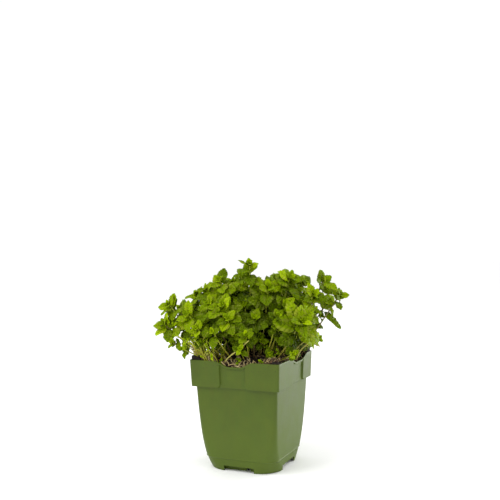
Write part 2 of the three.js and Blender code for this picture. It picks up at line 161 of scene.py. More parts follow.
class Skin:
    """The points and faces of one piece, with the numbers that its finish reads at each point."""

    def __init__(self, *reads):
        self.points, self.faces, self.finishes = [], [], []
        self.reads = {name: [] for name in reads}
        self.count = 0

    def _take(self, points, values):
        for name, kept in self.reads.items():
            kept.append(np.broadcast_to(np.asarray(values.get(name, 0.0), float), (len(points),)))
        self.points.append(points)
        self.count += len(points)

    def loft(self, rings, finish=0, start=None, end=None, **values):
        """A closed skin over rings of points. Each end closes at its point, or is a flat cap without one."""
        rings = np.asarray(rings, float)
        rows, around = rings.shape[:2]
        first = self.count
        spread = {n: np.broadcast_to(np.asarray(v, float), (rows, around)) for n, v in values.items()}
        self._take(rings.reshape(-1, 3), {n: v.ravel() for n, v in spread.items()})
        finish_at = np.broadcast_to(finish, around)
        nexts = [(k + 1) % around for k in range(around)]
        for row in range(rows - 1):
            low = first + row * around
            high = low + around
            for k, j in enumerate(nexts):
                self.faces.append((low + k, low + j, high + j, high + k))
                self.finishes.append(finish_at[k])
        last = first + (rows - 1) * around
        for point, row, near in ((start, 0, first), (end, -1, last)):
            if point is None:
                ring = range(near, near + around)
                self.faces.append(tuple(ring if row else reversed(ring)))
                self.finishes.append(finish_at[0])
                continue
            tip = self.count
            self._take(np.array([point], float), {n: v[row].mean() for n, v in spread.items()})
            for k, j in enumerate(nexts):
                self.faces.append((near + k, near + j, tip) if row else (tip, near + j, near + k))
                self.finishes.append(finish_at[k])

    def mesh(self, name, materials, sharp):
        """The mesh of all that was added. Edges that turn by more than sharp degrees stay crisp."""
        data = bpy.data.meshes.new(name)
        data.from_pydata((np.concatenate(self.points) * MM).tolist(), [], self.faces)
        for material in materials:
            data.materials.append(material)
        data.polygons.foreach_set("material_index", np.array(self.finishes, np.int32))
        data.polygons.foreach_set("use_smooth", np.ones(len(self.faces), bool))
        for read, kept in self.reads.items():
            layer = data.attributes.new(read, "FLOAT", "POINT")
            layer.data.foreach_set("value", np.concatenate(kept).astype(np.float32))
        data.set_sharp_from_angle(angle=math.radians(sharp))
        data.update()
        return data


def make_piece(name, data, slot, *nodes):
    """A piece of the plant: it rides on the body and stands for the nodes named. Its slot is not used."""
    piece = add_object(name, data)
    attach(piece, "root")
    if nodes:
        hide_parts(*nodes)
    return piece


# The finishes


def moulded_polypropylene():
    """Injection-moulded polypropylene with recycled pigment: a satin olive green, faintly clouded where the
    melt flowed, with a fine matt grain, pale rubbed marks and specks of dried soil near the rim. It is
    painted paler towards its foot as painted light, for the leaves' shade above it."""
    material, node, place = new_material("moulded_polypropylene")
    clouds = node("TexNoise", {"Vector": place, "Scale": per_metre(26), "Detail": 4.0, "Roughness": 0.6})
    drawn = node("Mapping", {"Vector": place, "Scale": (1.0, 1.0, 0.28)})
    flow = node("TexNoise", {"Vector": drawn, "Scale": per_metre(7), "Detail": 3.0, "Distortion": 0.6})
    pigment = node("ValToRGB", {0: clouds}, [(0.30, POT_SHADE), (0.50, POT_GREEN), (0.72, POT_LIGHT)])
    streaked = node("Mix", {0: 0.10, 6: pigment, 7: flow.outputs["Color"]},
                    data_type="RGBA", blend_type="SOFT_LIGHT")
    # scuffs: thin level marks, each a few millimetres long, where pots rub in their tray
    level_way = node("Mapping", {"Vector": place, "Scale": (1.0, 1.0, 9.0)})
    rubbed = node("TexNoise", {"Vector": level_way, "Scale": per_metre(5), "Detail": 5.0, "Roughness": 0.7})
    scuff = node("MapRange", {0: rubbed, 1: 0.66, 2: 0.78, 4: 0.28})
    scuffed = node("Mix", {0: scuff, 6: streaked, 7: linear(POT_RUBBED)}, data_type="RGBA")
    # painted light: the plastic is painted paler towards its foot and darker up under the leaves, standing
    # in for the leaves' shadow and the light that the floor throws on the foot
    level = node("SeparateXYZ", {0: place}).outputs["Z"]
    painted_foot_light = node("MapRange", {0: level, 1: FOOT_LIGHT_FROM * MM, 2: FOOT_LIGHT_TO * MM, 4: 0.5})
    foot_lit_colour = node("Mix", {0: painted_foot_light, 6: scuffed, 7: linear(POT_FOOT_PAINTED_LIGHT)}, data_type="RGBA")
    # soil specks: under a millimetre across, many near the rim and few below
    near_rim = node("MapRange", {0: level, 1: SPECKS_FROM * MM, 2: SPECKS_TO * MM, 3: 0.045, 4: 0.26})
    grains = node("TexVoronoi", {"Vector": place, "Scale": per_metre(2.6), "Randomness": 1.0})
    patches = node("TexNoise", {"Vector": place, "Scale": per_metre(9), "Detail": 2.0})
    reach = node("Math", {0: near_rim, 1: patches}, operation="MULTIPLY")
    speck = node("Math", {0: grains, 1: reach}, operation="LESS_THAN")
    dusted = node("Mix", {0: speck, 6: foot_lit_colour, 7: linear(SOIL_SPECK)}, data_type="RGBA")
    # the real grain is finer, about 0.1 mm, and wouldn't show
    grain = node("TexNoise", {"Vector": place, "Scale": per_metre(0.8), "Detail": 2.0})
    wave = node("Math", {0: flow, 1: 2.2, 2: grain}, operation="MULTIPLY_ADD")
    relief = node("Bump", {"Height": wave, "Strength": 0.35, "Distance": 0.06 * MM})
    satin = node("MapRange", {0: clouds, 1: 0.3, 2: 0.7, 3: 0.42, 4: 0.54})
    plastic = node("BsdfPrincipled", {"Base Color": dusted, "Roughness": satin, "Normal": relief,
                                      "IOR": 1.49, "Specular IOR Level": 0.3})
    node("OutputMaterial", {0: plastic})
    return material


def leaf_finish(name, stops, vein, veined, rough, gloss):
    """A mint leaf: grown tissue, quilted between grooved veins, with fine hairs. Young leaves are
    yellow-green and old ones deeper, the midrib and the net of small veins are paler than the blade, the
    blade is painted darker along its side veins as painted shade in the furrows, and light glows through it."""
    material, node, place = new_material(name)
    along, across, age, tone = (node("Attribute", attribute_name=read).outputs["Fac"] for read in LEAF_READS)
    out = node("Math", {0: across}, operation="ABSOLUTE")
    ribs = node("Math", {0: along, 1: float(VEIN_PAIRS)}, operation="MULTIPLY")
    slanted = node("Math", {0: out, 1: -VEIN_SLANT, 2: ribs}, operation="MULTIPLY_ADD")
    to_rib = node("Math", {0: slanted, 1: 0.5}, operation="PINGPONG")
    lateral = node("MapRange", {0: to_rib, 1: 0.02, 2: 0.17, 3: 0.75, 4: 0.0})
    midrib = node("MapRange", {0: out, 1: 0.02, 2: 0.11, 3: 1.0, 4: 0.0})
    veins = node("Math", {0: lateral, 1: midrib}, operation="MAXIMUM")
    grown = node("ValToRGB", {0: age}, stops)
    # net of the smallest veins: cells about a millimetre across, as on a real leaf
    net = node("TexVoronoi", {"Vector": place, "Scale": per_metre(1.3)}, feature="DISTANCE_TO_EDGE")
    cells = node("MapRange", {0: net, 1: 0.0, 2: 0.22, 3: 0.30, 4: 0.0})
    netted = node("Mix", {0: cells, 6: grown, 7: linear(vein)}, data_type="RGBA")
    # patches where the blade is thicker or drier, 3 to 6 mm across
    patches = node("TexNoise", {"Vector": place, "Scale": per_metre(5), "Detail": 3.0})
    brightness = node("Math", {0: patches, 1: 1.0, 2: 0.155}, operation="MULTIPLY_ADD")
    # painted shade: the blade is darker along its side veins, for the shade in the furrows between its
    # pillows
    furrow_painted_shade = node("Math", {0: lateral, 1: -0.42, 2: brightness}, operation="MULTIPLY_ADD")
    toned = node("Math", {0: tone, 1: 0.75, 2: furrow_painted_shade}, operation="MULTIPLY_ADD")
    hue = node("MapRange", {0: tone, 3: 0.507, 4: 0.492})
    varied = node("HueSaturation", {"Color": netted, "Value": toned, "Hue": hue})
    strength = node("Math", {0: midrib, 1: veined}, operation="MULTIPLY")
    blade = node("Mix", {0: strength, 6: varied, 7: linear(vein)}, data_type="RGBA")
    hairs = node("TexNoise", {"Vector": place, "Scale": per_metre(0.7), "Detail": 3.0})
    furrows = node("Math", {0: veins, 1: -0.9, 2: hairs}, operation="MULTIPLY_ADD")
    furrowed = node("Math", {0: cells, 1: -1.4, 2: furrows}, operation="MULTIPLY_ADD")
    relief = node("Bump", {"Height": furrowed, "Strength": 0.7, "Distance": 0.22 * MM})
    skin = node("BsdfPrincipled", {"Base Color": blade, "Normal": relief, "Roughness": rough, "IOR": 1.45,
                                   "Specular IOR Level": gloss, "Specular Tint": linear(LEAF_SHEEN)})
    through = node("HueSaturation", {"Color": blade, "Saturation": 1.1, "Value": 1.7})
    glow = node("BsdfTranslucent", {"Color": through, "Normal": relief})
    leaf = node("MixShader", {0: LEAF_GLOW, 1: skin, 2: glow})
    node("OutputMaterial", {0: leaf})
    return material


def grown_mint_stem():
    """A living mint stem: grown, ridged lengthways along its four corners, downy and slightly waxy. It is
    purplish where it leaves the soil, then green, and pale and tender towards its tip."""
    material, node, place = new_material("grown_mint_stem")
    rise, tone = (node("Attribute", attribute_name=read).outputs["Fac"] for read in ("along", "tone"))
    long_way = node("Mapping", {"Vector": place, "Scale": (1.0, 1.0, 0.15)})
    ridges = node("TexNoise", {"Vector": long_way, "Scale": per_metre(0.9), "Detail": 3.0})
    wander = node("Math", {0: ridges, 1: 0.3, 2: rise}, operation="MULTIPLY_ADD")
    settled = node("Math", {0: wander, 1: 0.15}, operation="SUBTRACT")
    grown = node("ValToRGB", {0: settled},
                 [(0.06, STEM_FOOT_TINT), (0.22, STEM_LOW), (0.55, STEM_GREEN), (0.9, STEM_TENDER)])
    flush = node("MapRange", {0: tone, 1: 0.8, 2: 0.95, 4: 0.7})
    flushed = node("Mix", {0: flush, 6: grown, 7: linear(STEM_FLUSH)}, data_type="RGBA")
    relief = node("Bump", {"Height": ridges, "Strength": 0.6, "Distance": 0.2 * MM})
    stem = node("BsdfPrincipled", {"Base Color": flushed, "Normal": relief, "Roughness": 0.5, "IOR": 1.45,
                                   "Specular IOR Level": 0.4})
    node("OutputMaterial", {0: stem})
    return material


def crumbled(name, stops, grain, rough, long_grain=1.0):
    """Plant matter that has dried or rotted and broken up: matt, its colour changing from crumb to crumb and
    fibre to fibre, with a rough torn surface."""
    material, node, place = new_material(name)
    tone = node("Attribute", attribute_name="tone").outputs["Fac"]
    stretched = node("Mapping", {"Vector": place, "Scale": (1.0, 1.0, long_grain)})
    torn = node("TexNoise",
                {"Vector": stretched, "Scale": per_metre(grain), "Detail": 6.0, "Roughness": 0.7})
    mixed = node("Math", {0: tone, 1: 0.55, 2: torn}, operation="MULTIPLY_ADD")
    centred = node("Math", {0: mixed, 1: 0.25}, operation="SUBTRACT")
    colour = node("ValToRGB", {0: centred}, stops)
    relief = node("Bump", {"Height": torn, "Strength": 0.9, "Distance": 0.35 * MM})
    surface = node("BsdfPrincipled", {"Base Color": colour, "Normal": relief, "Roughness": rough, "IOR": 1.5,
                                      "Specular IOR Level": 0.3})
    node("OutputMaterial", {0: surface})
    return material


# The pot's colours, and between which heights it is painted paler towards its foot as painted light and
# specked towards its rim
POT_GREEN, POT_SHADE, POT_LIGHT, POT_RUBBED = "#46570a", "#425308", "#4a5b0d", "#647237"
POT_FOOT_PAINTED_LIGHT, FOOT_LIGHT_FROM, FOOT_LIGHT_TO = "#53661a", 85, 25
SOIL_SPECK, SPECKS_FROM, SPECKS_TO = "#33261a", 88, 128
LEAF_READS = ("along", "across", "age", "tone")  # the numbers that a leaf's finish reads at each point
VEIN_PAIRS, VEIN_SLANT = 6, 1.25  # pairs of side veins, and how far along one runs from midrib to edge
LEAF_GLOW = 0.18  # share of the light that passes through a leaf
LEAF_SHEEN = "#f4ffb0"
STEM_FOOT_TINT, STEM_LOW, STEM_GREEN, STEM_TENDER = "#6d4a28", "#a79c3c", "#a3a42c", "#a8b52c"
STEM_FLUSH = "#5a3a3c"

POT_FINISH = moulded_polypropylene()
LEAF_UPPER = leaf_finish("mint_leaf_upper_side", [(0.0, "#8eac00"), (0.45, "#647f00"), (1.0, "#2a3f00")],
                         vein="#8fa418", veined=0.52, rough=0.36, gloss=0.06)
LEAF_UNDER = leaf_finish("mint_leaf_underside", [(0.0, "#94a21a"), (0.45, "#73831e"), (1.0, "#57681e")],
                         vein="#9ba648", veined=0.45, rough=0.62, gloss=0.08)
STEM_FINISH = grown_mint_stem()
SOIL_FINISH = crumbled(
    "moist_peat_compost", [(0.2, "#0a0706"), (0.45, "#17100c"), (0.62, "#2b1e17"), (0.85, "#4e392b")],
    grain=1.6, rough=0.85)
BARK_FINISH = crumbled(
    "weathered_pine_bark", [(0.2, "#160e0a"), (0.45, "#321e14"), (0.65, "#5d3a29"), (0.9, "#8d6a4c")],
    grain=1.2, rough=0.8)
STRAW_FINISH = crumbled(
    "dried_straw_fibre", [(0.2, "#33271a"), (0.45, "#6b5838"), (0.65, "#9c8756"), (0.85, "#cdbf90")],
    grain=0.9, rough=0.75)
STALK_FINISH = crumbled(
    "dried_mint_stalk", [(0.15, "#6f662a"), (0.4, "#989440"), (0.65, "#b4b058"), (0.9, "#cdca86")],
    grain=1.1, rough=0.7, long_grain=0.2)

# The pot
POT_WIDTH, POT_HEIGHT, COLLAR_HEIGHT = 110, 131, 31
SHOULDER = POT_HEIGHT - COLLAR_HEIGHT
COLLAR_DRAFT, COLLAR_CORNER = 0.9, 2.2
WALL = 1.2
PANEL_DEPTH, PANEL_SLANT = 2.1, 1.1  # the set-back panel of each side, and the lean of the walls beside it
PANEL_FOOT_ROUND = 4.2  # the panel's lower corners are rounded this much
RIM_DIP, DIP_FULLNESS, DIP_EASE = 6.2, 1.25, 1.2
LIP_HIGH, LIP_OUT = 2.3, 1.5  # the lip that stiffens the rim over a panel
BASE_HALF, BODY_FLARE, BODY_BOW = 44.7, 0.0745, 0.000185
CORNER_TOP, CORNER_BASE_EXTRA, CORNER_FADE = 3.5, 24, 21
LEDGE_HEIGHT, LEDGE_DEPTH = 15, 0.35
BEAD, BEAD_HALF = 0.55, 0.6  # the moulded line along the ledge stands out this much, and its half height
FLOOR_HEIGHT = 8
FOOT_GAP, FOOT_GAP_HEIGHT = 19, 6  # half width of the opening in the skirt
RIB_HALF, RIB_CORNER = 37, 12
RIB_SLOT, RIB_SLOT_HEIGHT = (6.5, 11.5), 5.5
DRAIN_RADIUS, DRAIN_REACH = 4, 27
SIDE_TURNS = (0, 90, 180, 270)
PANELS = ((-18, 14.5), (-9, 25), (-14, 16), (-25, 9))
DIPS = ((-22, 22), (-14, 37), (-18, 22), (-37, 14))
POT_CRISP = 38  # degrees from which an edge of the pot is crisp
COLUMN_STEP = 2.2  # between the columns of points that the pot's skin is made of
PANEL_COLUMNS = (-4, -3.2, -2.6, -2.1, -1.6, -1.2, -0.8, -0.4, -0.05, 0.3, 0.7, 1.1)  # by a panel's edge
CORNER_COLUMNS, LEAST_CORNER = 10, 0.8
COLLAR_STRAIGHT = POT_WIDTH / 2 - COLLAR_CORNER  # half of a side's flat part at the rim


def body_corner(z):
    return CORNER_TOP + CORNER_BASE_EXTRA * math.exp(-z / CORNER_FADE)


def body_half(z):
    ledge = LEDGE_DEPTH * (1 - smooth(LEDGE_HEIGHT - 0.5, LEDGE_HEIGHT + 0.5, z))
    bead = BEAD * math.exp(-((z - LEDGE_HEIGHT) / BEAD_HALF) ** 2)
    return BASE_HALF + BODY_FLARE * z - BODY_BOW * z * z - ledge + bead


def collar_half(z):
    return POT_WIDTH / 2 - COLLAR_DRAFT * (POT_HEIGHT - z) / COLLAR_HEIGHT


FOOT_STRAIGHT = body_half(FLOOR_HEIGHT) - body_corner(FLOOR_HEIGHT)
GAP_COLUMN = FOOT_GAP * COLLAR_STRAIGHT / FOOT_STRAIGHT
SLOT_COLUMNS = [x * COLLAR_STRAIGHT / (RIB_HALF - RIB_CORNER) for x in RIB_SLOT]


def side_columns(panel):
    """Where the columns of points stand along one side of the rim: closer at each edge that must show."""
    crisp = [-GAP_COLUMN - 0.08, -GAP_COLUMN + 0.08, GAP_COLUMN - 0.08, GAP_COLUMN + 0.08]
    crisp += [x + d for x in SLOT_COLUMNS for d in (-0.08, 0.08)]
    for edge, way in ((panel[0], 1), (panel[1], -1)):
        crisp += [edge + way * d for d in PANEL_COLUMNS]
    steps = round(2 * COLLAR_STRAIGHT / COLUMN_STEP)
    even = np.linspace(-COLLAR_STRAIGHT, COLLAR_STRAIGHT, steps + 1)
    kept = [x for x in even[1:-1] if min(abs(x - c) for c in crisp) > 0.9]
    return np.array(sorted([-COLLAR_STRAIGHT, COLLAR_STRAIGHT] + kept + crisp))


def set_back(x, panel, above_foot):
    """Share of the panel's depth at a place along a side. The panel widens at its rounded lower corners."""
    rounding = max(0.0, PANEL_FOOT_ROUND - above_foot)
    widen = PANEL_FOOT_ROUND - math.sqrt(max(0.0, PANEL_FOOT_ROUND ** 2 - rounding ** 2))
    left, right = panel[0] - widen, panel[1] + widen
    return smooth(left - 0.05, left + PANEL_SLANT, x) * smooth(-right - 0.05, -right + PANEL_SLANT, -x)


def rim_height(x, dip):
    share = np.clip((x - dip[0]) / (dip[1] - dip[0]), 0, 1)
    fall = np.minimum(1, DIP_FULLNESS * np.sin(np.pi * share) ** DIP_EASE)
    return POT_HEIGHT - RIM_DIP * fall


def pot_ring(height_at, half_at, corner_at, inset=0.0, panel_share=0.0, straight_at=None):
    """A level of the pot's skin. Its height and its half width may change from column to column."""
    def measures(z):
        """Half of a side, the radius of its corner, and half of its straight part at a height."""
        half, corner = half_at(z) - inset, max(corner_at(z) - inset, LEAST_CORNER)
        return half, corner, straight_at(z) if straight_at else half - corner

    ring = []
    for turn, panel, dip in zip(SIDE_TURNS, PANELS, DIPS):
        points = []
        for x_rim in side_columns(panel):
            z = height_at(x_rim, dip)
            half, corner, straight = measures(z)
            x = x_rim * straight / COLLAR_STRAIGHT
            past = max(0.0, abs(x) - (half - corner))
            y = -(half - corner) - math.sqrt(max(0.0, corner ** 2 - past ** 2))
            back = panel_share * set_back(x_rim, panel, z - SHOULDER) if panel_share else 0.0
            points.append((x, y + back, z))
        z = points[-1][2]
        half, corner, straight = measures(z)
        begin = math.asin(min(1.0, max(0.0, (straight - (half - corner)) / corner)))
        for k in range(1, CORNER_COLUMNS):
            angle = begin + (math.pi / 2 - 2 * begin) * k / CORNER_COLUMNS
            x, y = half - corner + corner * math.sin(angle), -half + corner - corner * math.cos(angle)
            points.append((x, y, z))
        c, s = round(math.cos(math.radians(turn))), round(math.sin(math.radians(turn)))
        ring += [(x * c - y * s, x * s + y * c, z) for x, y, z in points]
    return ring


def foot_level(z, open_columns, opening):
    """Heights of a low level: over an opening in the skirt or the rib, it is squeezed above that opening."""
    def height(x_rim, _dip):
        foot = opening if any(low < x_rim < high for low, high in open_columns) else 0.0
        return foot + (FLOOR_HEIGHT - foot) * z / FLOOR_HEIGHT
    return height


def skirt_ring(z, inset):
    level = foot_level(z, [(-GAP_COLUMN, GAP_COLUMN)], FOOT_GAP_HEIGHT)
    return pot_ring(level, body_half, body_corner, inset, straight_at=lambda _z: FOOT_STRAIGHT)


def rib_ring(z, inset):
    level = foot_level(z, [tuple(SLOT_COLUMNS)], RIB_SLOT_HEIGHT)
    return pot_ring(level, lambda _z: RIB_HALF, lambda _z: RIB_CORNER, inset,
                    straight_at=lambda _z: RIB_HALF - RIB_CORNER)


def body_ring(z, inset):
    return pot_ring(lambda _x, _dip: z, body_half, body_corner, inset)


def collar_ring(z, inset, panel_share=PANEL_DEPTH):
    return pot_ring(lambda _x, _dip: z, collar_half, lambda _z: COLLAR_CORNER, inset, panel_share)


def rim_ring(below, inset, panel_share=PANEL_DEPTH):
    """A level of the collar that follows the rim, this far below it."""
    return pot_ring(lambda x, dip: rim_height(x, dip) - below, collar_half, lambda _z: COLLAR_CORNER, inset,
                    panel_share)


def pot_piece():
    """One skin: out under the floor and round its rib, down inside the skirt, up the outside, over the rim
    and down the inside, with drain holes cut through the floor."""
    lip = PANEL_DEPTH - LIP_OUT
    rib = ((FLOOR_HEIGHT, WALL), (1.0, WALL), (0.0, WALL - 0.25), (0.0, 0.25), (1.0, 0.0),
           (FLOOR_HEIGHT, 0.0))
    skirt = ((FLOOR_HEIGHT, WALL), (3, WALL), (0.3, WALL), (0.0, WALL - 0.3), (0.0, 0.6), (0.25, 0.18),
             (0.9, 0.0), (3, 0.0), (FLOOR_HEIGHT, 0.0))
    by_ledge = (11, 13.6, 14.2, 14.6, 14.8, 15, 15.2, 15.4, 15.8, 16.4)
    up_body, down_body = (20, 26, 34, 44, 56, 70, 84, 94, 98.6, 99.5), (SHOULDER + 0.8, 80, 60, 40, 28, 18)
    up_collar = (101, 101.6, 102.3, 103.2, 104.4, 108, 113, 118)
    shoulder = ((SHOULDER, 0.55), (SHOULDER + 0.08, 0.2), (SHOULDER + 0.5, 0.0))
    rim = ((6, 0.0), (LIP_HIGH + 0.25, 0.0), (LIP_HIGH, 0.0, lip + 0.5), (LIP_HIGH - 0.3, 0.0, lip),
           (0.45, 0.0, lip), (0.12, 0.12, lip), (0.0, 0.4, lip + 0.1), (0.0, 0.85), (0.15, 1.12),
           (0.5, WALL), (6, WALL))
    rings = [rib_ring(*level) for level in rib] + [skirt_ring(*level) for level in skirt]
    rings += [body_ring(z, 0.0) for z in by_ledge + up_body]
    rings += [body_ring(SHOULDER - 0.1, -0.25)] + [collar_ring(*level) for level in shoulder]
    rings += [collar_ring(z, 0.0) for z in up_collar]
    rings += [rim_ring(*level) for level in rim]
    rings += [collar_ring(z, WALL) for z in (112, SHOULDER + WALL)]
    rings += [body_ring(z, WALL) for z in down_body + (FLOOR_HEIGHT + WALL,)]
    skin = Skin()
    skin.loft(rings, start=(0, 0, FLOOR_HEIGHT), end=(0, 0, FLOOR_HEIGHT + WALL))
    pot = make_piece("nursery_pot", skin.mesh("nursery_pot", [POT_FINISH], POT_CRISP), "pot", "pot")
    drill = Skin()
    for across, back in ((0, 0), (1, 1), (1, -1), (-1, 1), (-1, -1)):
        hole = circle(24) * DRAIN_RADIUS + np.array([across * DRAIN_REACH, back * DRAIN_REACH, 0.0])
        drill.loft([hole + (0, 0, z) for z in (FLOOR_HEIGHT - 1, FLOOR_HEIGHT + WALL + 1)])
    cutter = add_object("drill", drill.mesh("drill", [POT_FINISH], POT_CRISP))
    cut = pot.modifiers.new("drains", "BOOLEAN")
    cut.operation, cut.solver, cut.object = "DIFFERENCE", "EXACT", cutter
    bpy.context.view_layer.update()
    drained = bpy.data.meshes.new_from_object(pot.evaluated_get(bpy.context.evaluated_depsgraph_get()))
    pot.modifiers.clear()
    pot.data = drained
    drained.name = "nursery_pot_skin"
    drained.set_sharp_from_angle(angle=math.radians(POT_CRISP))
    bpy.data.objects.remove(cutter)


pot_piece()

# The soil
SOIL_GAP = 0.4
SOIL_EDGE, SOIL_MOUND, LUMP_HEIGHT = 122, 9, 0.9
SOIL_HEAP, HEAP_SHARES = 8.5, (0.42, 0.92)  # the soil is heaped in its corners, from and to these shares out
LITTER_CORNER, LITTER_REACH, LITTER_HIGH = 50, 17, 4  # litter is piled up in the left and right corners
SOIL_RINGS = 64
CRUMB_HEIGHT = 1.5
LUMP_SIDES, LUMP_NARROW = 6, 0.7  # the corners of a crumb or chip, and its breadth as a share of its length
STRAND_RINGS, STRAND_SIDES = 9, 5
SOIL_SIDE = 51  # half the width that litter lies on
CRUMBS, CHIPS, FIBRES, EDGE_FIBRES, EDGE_CHIPS, STUBS = 900, 230, 200, 120, 200, 64
CORNER_CHIPS = ((LITTER_CORNER, 90, 4.0), (-LITTER_CORNER, 60, 1.5))  # corner, chips, and how high they lie
# Kinds of lump: half the length and the height's share of the length, each from and to, and how far it is
# raised out of the soil, as a share of that half length.
CRUMB, CHIP = ((0.5, 1.7), (0.6, 1.0), 0.2), ((0.9, 2.9), (0.25, 0.5), 0)
EDGE_CHIP, CORNER_CHIP = ((0.9, 2.6), (0.25, 0.6), 0), ((1.2, 2.8), (0.3, 0.7), 0)
# How fibres lie, in the middle and at the edge: the depth of the foot, the shares of the length where the
# path has a point, the line that it stays inside, its height over the soil, how far round its bow goes, its
# reach, its bend to either side, its lifts (one or the other), and its radius.
INSIDE_FIBRE = {"depth": 0.8, "shares": (0.4, 0.75, 1.0), "line": 52.0, "above": 0.4, "bow": 2.4,
                "reach": (3, 11), "bend": 0.9, "lifts": ((0.2, 4.5), (0.1, 1.0)), "radius": (0.16, 0.5)}
EDGE_FIBRE = {"depth": 0.5, "shares": (0.35, 0.7, 1.0), "line": 52.4, "above": 0.5, "bow": 2.6,
              "reach": (4, 12), "bend": 1.2, "lifts": ((0.3, 4.5),), "radius": (0.22, 0.6)}
STUB_HEIGHT, STUB_RADIUS, STUB_TONE = (2.5, 8), (0.4, 0.75), 0.85
TALLER, TALLER_BEFORE = 5, -25  # the stubs are this much taller to the left of this


def soil_top(x, y):
    """Height of the soil's surface: a mound with a few low lumps."""
    out = min(1.0, 2 * max(abs(x), abs(y)) / POT_WIDTH)
    lumps = math.sin(x * 0.21 + 1) * math.cos(y * 0.19) + 0.6 * math.sin(x * 0.11 - y * 0.16 + 2)
    return SOIL_EDGE + SOIL_MOUND * (1 - out ** 3) + LUMP_HEIGHT * lumps * (1 - out ** 6)


def heap(x, y):
    """What the heap in the nearest corner adds to the soil. The left and right ones have litter on top."""
    aside = min(math.hypot(x - corner, y - corner) for corner in (-LITTER_CORNER, LITTER_CORNER))
    topping = LITTER_HIGH * smooth(LITTER_REACH, 2, aside)
    return SOIL_HEAP * smooth(*HEAP_SHARES, 2 * min(abs(x), abs(y)) / POT_WIDTH) + topping


def crumbs(x, y):
    """How far the crumbs at a place stand above or below the soil's surface: clods, crumbs and grit."""
    clods = noise.noise(Vector((x * 0.16, y * 0.16, 3.1)))
    crumb = noise.noise(Vector((x * 0.42, y * 0.42, 7.7)))
    grit = noise.noise(Vector((x * 1.05, y * 1.05, 1.3)))
    return CRUMB_HEIGHT * (0.9 * clods + abs(crumb) * 1.3 - 0.35 + 0.45 * grit)


def soil_piece():
    inset = WALL + SOIL_GAP
    edge = np.array(collar_ring(SOIL_EDGE, inset))
    sides = [body_ring(z, inset) for z in (FLOOR_HEIGHT + inset, 28, 60, SHOULDER + inset - 0.2)]
    sides.append(collar_ring(SHOULDER + inset, inset))
    sides.append(collar_ring(SOIL_EDGE - 4, inset))
    for ring in range(SOIL_RINGS):
        share = 1 - ring / SOIL_RINGS
        top = edge * (share, share, 1)
        for point in top:
            x, y = point[:2]
            point[2] = soil_top(x, y) + heap(x, y) + crumbs(x, y) * (0.35 + 0.65 * min(1.0, ring / 3))
        sides.append(top)
    skin = Skin("tone")
    skin.loft(sides, end=(0, 0, soil_top(0, 0) + crumbs(0, 0)), tone=0.45)
    make_piece("potting_soil_mix", skin.mesh("potting_soil_mix", [SOIL_FINISH], 60), "soil", "potting_soil")


def lump(skin, draw, place, above, kind):
    """One crumb or chip on the soil: a rough closed lump, flattened and turned its own way."""
    lengths, flats, standing = kind
    size, flat = draw.uniform(*lengths), draw.uniform(*flats)
    middle = on_soil(*place, above + standing * size)
    turned = np.array(Matrix.Rotation(draw.uniform(0, 6.28), 3, "Z")
                      @ Matrix.Rotation(draw.gauss(0, 0.5), 3, "X")
                      @ Matrix.Rotation(draw.gauss(0, 0.4), 3, "Y"))
    rings = []
    for z, wide in ((-0.55, 0.7), (0.0, 1.0), (0.5, 0.72)):
        ring = []
        for k in range(LUMP_SIDES):
            angle = 2 * math.pi * k / LUMP_SIDES
            out = wide * draw.uniform(0.72, 1.18)
            rise = (z + draw.uniform(-0.15, 0.15)) * flat
            ring.append((out * math.cos(angle), out * math.sin(angle) * LUMP_NARROW, rise))
        rings.append(ring)
    ends = np.array([(0, 0, -0.9 * flat), (0.1, 0, 0.85 * flat)])
    placed = [np.array(r) * size @ turned.T + middle for r in rings]
    low, high = ends * size @ turned.T + middle
    skin.loft(placed, start=low, end=high, tone=draw.random())


def strand(skin, draw, path, radius, palest=0.0):
    """A thin fibre, root or straw along a smooth path of points, tapering at both ends."""
    points = smooth_path(path, STRAND_RINGS)
    ways = np.gradient(points, axis=0)
    rings = []
    for i, (point, way) in enumerate(zip(points, ways)):
        first, second = sideways(unit(way))
        share = i / (len(points) - 1)
        thick = radius * (0.45 + 0.55 * math.sin(math.pi * (0.12 + 0.76 * share)))
        angles = [2 * math.pi * k / STRAND_SIDES for k in range(STRAND_SIDES)]
        rings.append([point + thick * (first * math.cos(a) + second * math.sin(a)) for a in angles])
    skin.loft(rings, tone=max(palest, draw.random()))


def smooth_path(path, count):
    """Points at even steps on a smooth curve through the points of a path, by centripetal splines."""
    path = [np.asarray(p, float) for p in path]
    padded = [2 * path[0] - path[1]] + path + [2 * path[-1] - path[-2]]
    found = []
    for i in range(count):
        place = (len(path) - 1) * i / (count - 1)
        k = min(int(place), len(path) - 2)
        t = place - k
        p0, p1, p2, p3 = padded[k:k + 4]
        d0, d1, d2 = (max(np.linalg.norm(b - a), 1e-3) ** 0.5 for a, b in ((p0, p1), (p1, p2), (p2, p3)))
        m1 = ((p1 - p0) / d0 - (p2 - p0) / (d0 + d1) + (p2 - p1) / d1) * d1
        m2 = ((p2 - p1) / d1 - (p3 - p1) / (d1 + d2) + (p3 - p2) / d2) * d1
        a, b = 2 * p1 - 2 * p2 + m1 + m2, -3 * p1 + 3 * p2 - 2 * m1 - m2
        found.append(((a * t + b) * t + m1) * t + p1)
    return np.array(found)


def sideways(along):
    """Two directions square to a stem, the first as near to +X as it can be."""
    first = unit(np.array([1.0, 0, 0]) - along * along[0])
    return first, np.cross(along, first)


def on_soil(x, y, above=0.0):
    return np.array([x, y, soil_top(x, y) + heap(x, y) + crumbs(x, y) + above])


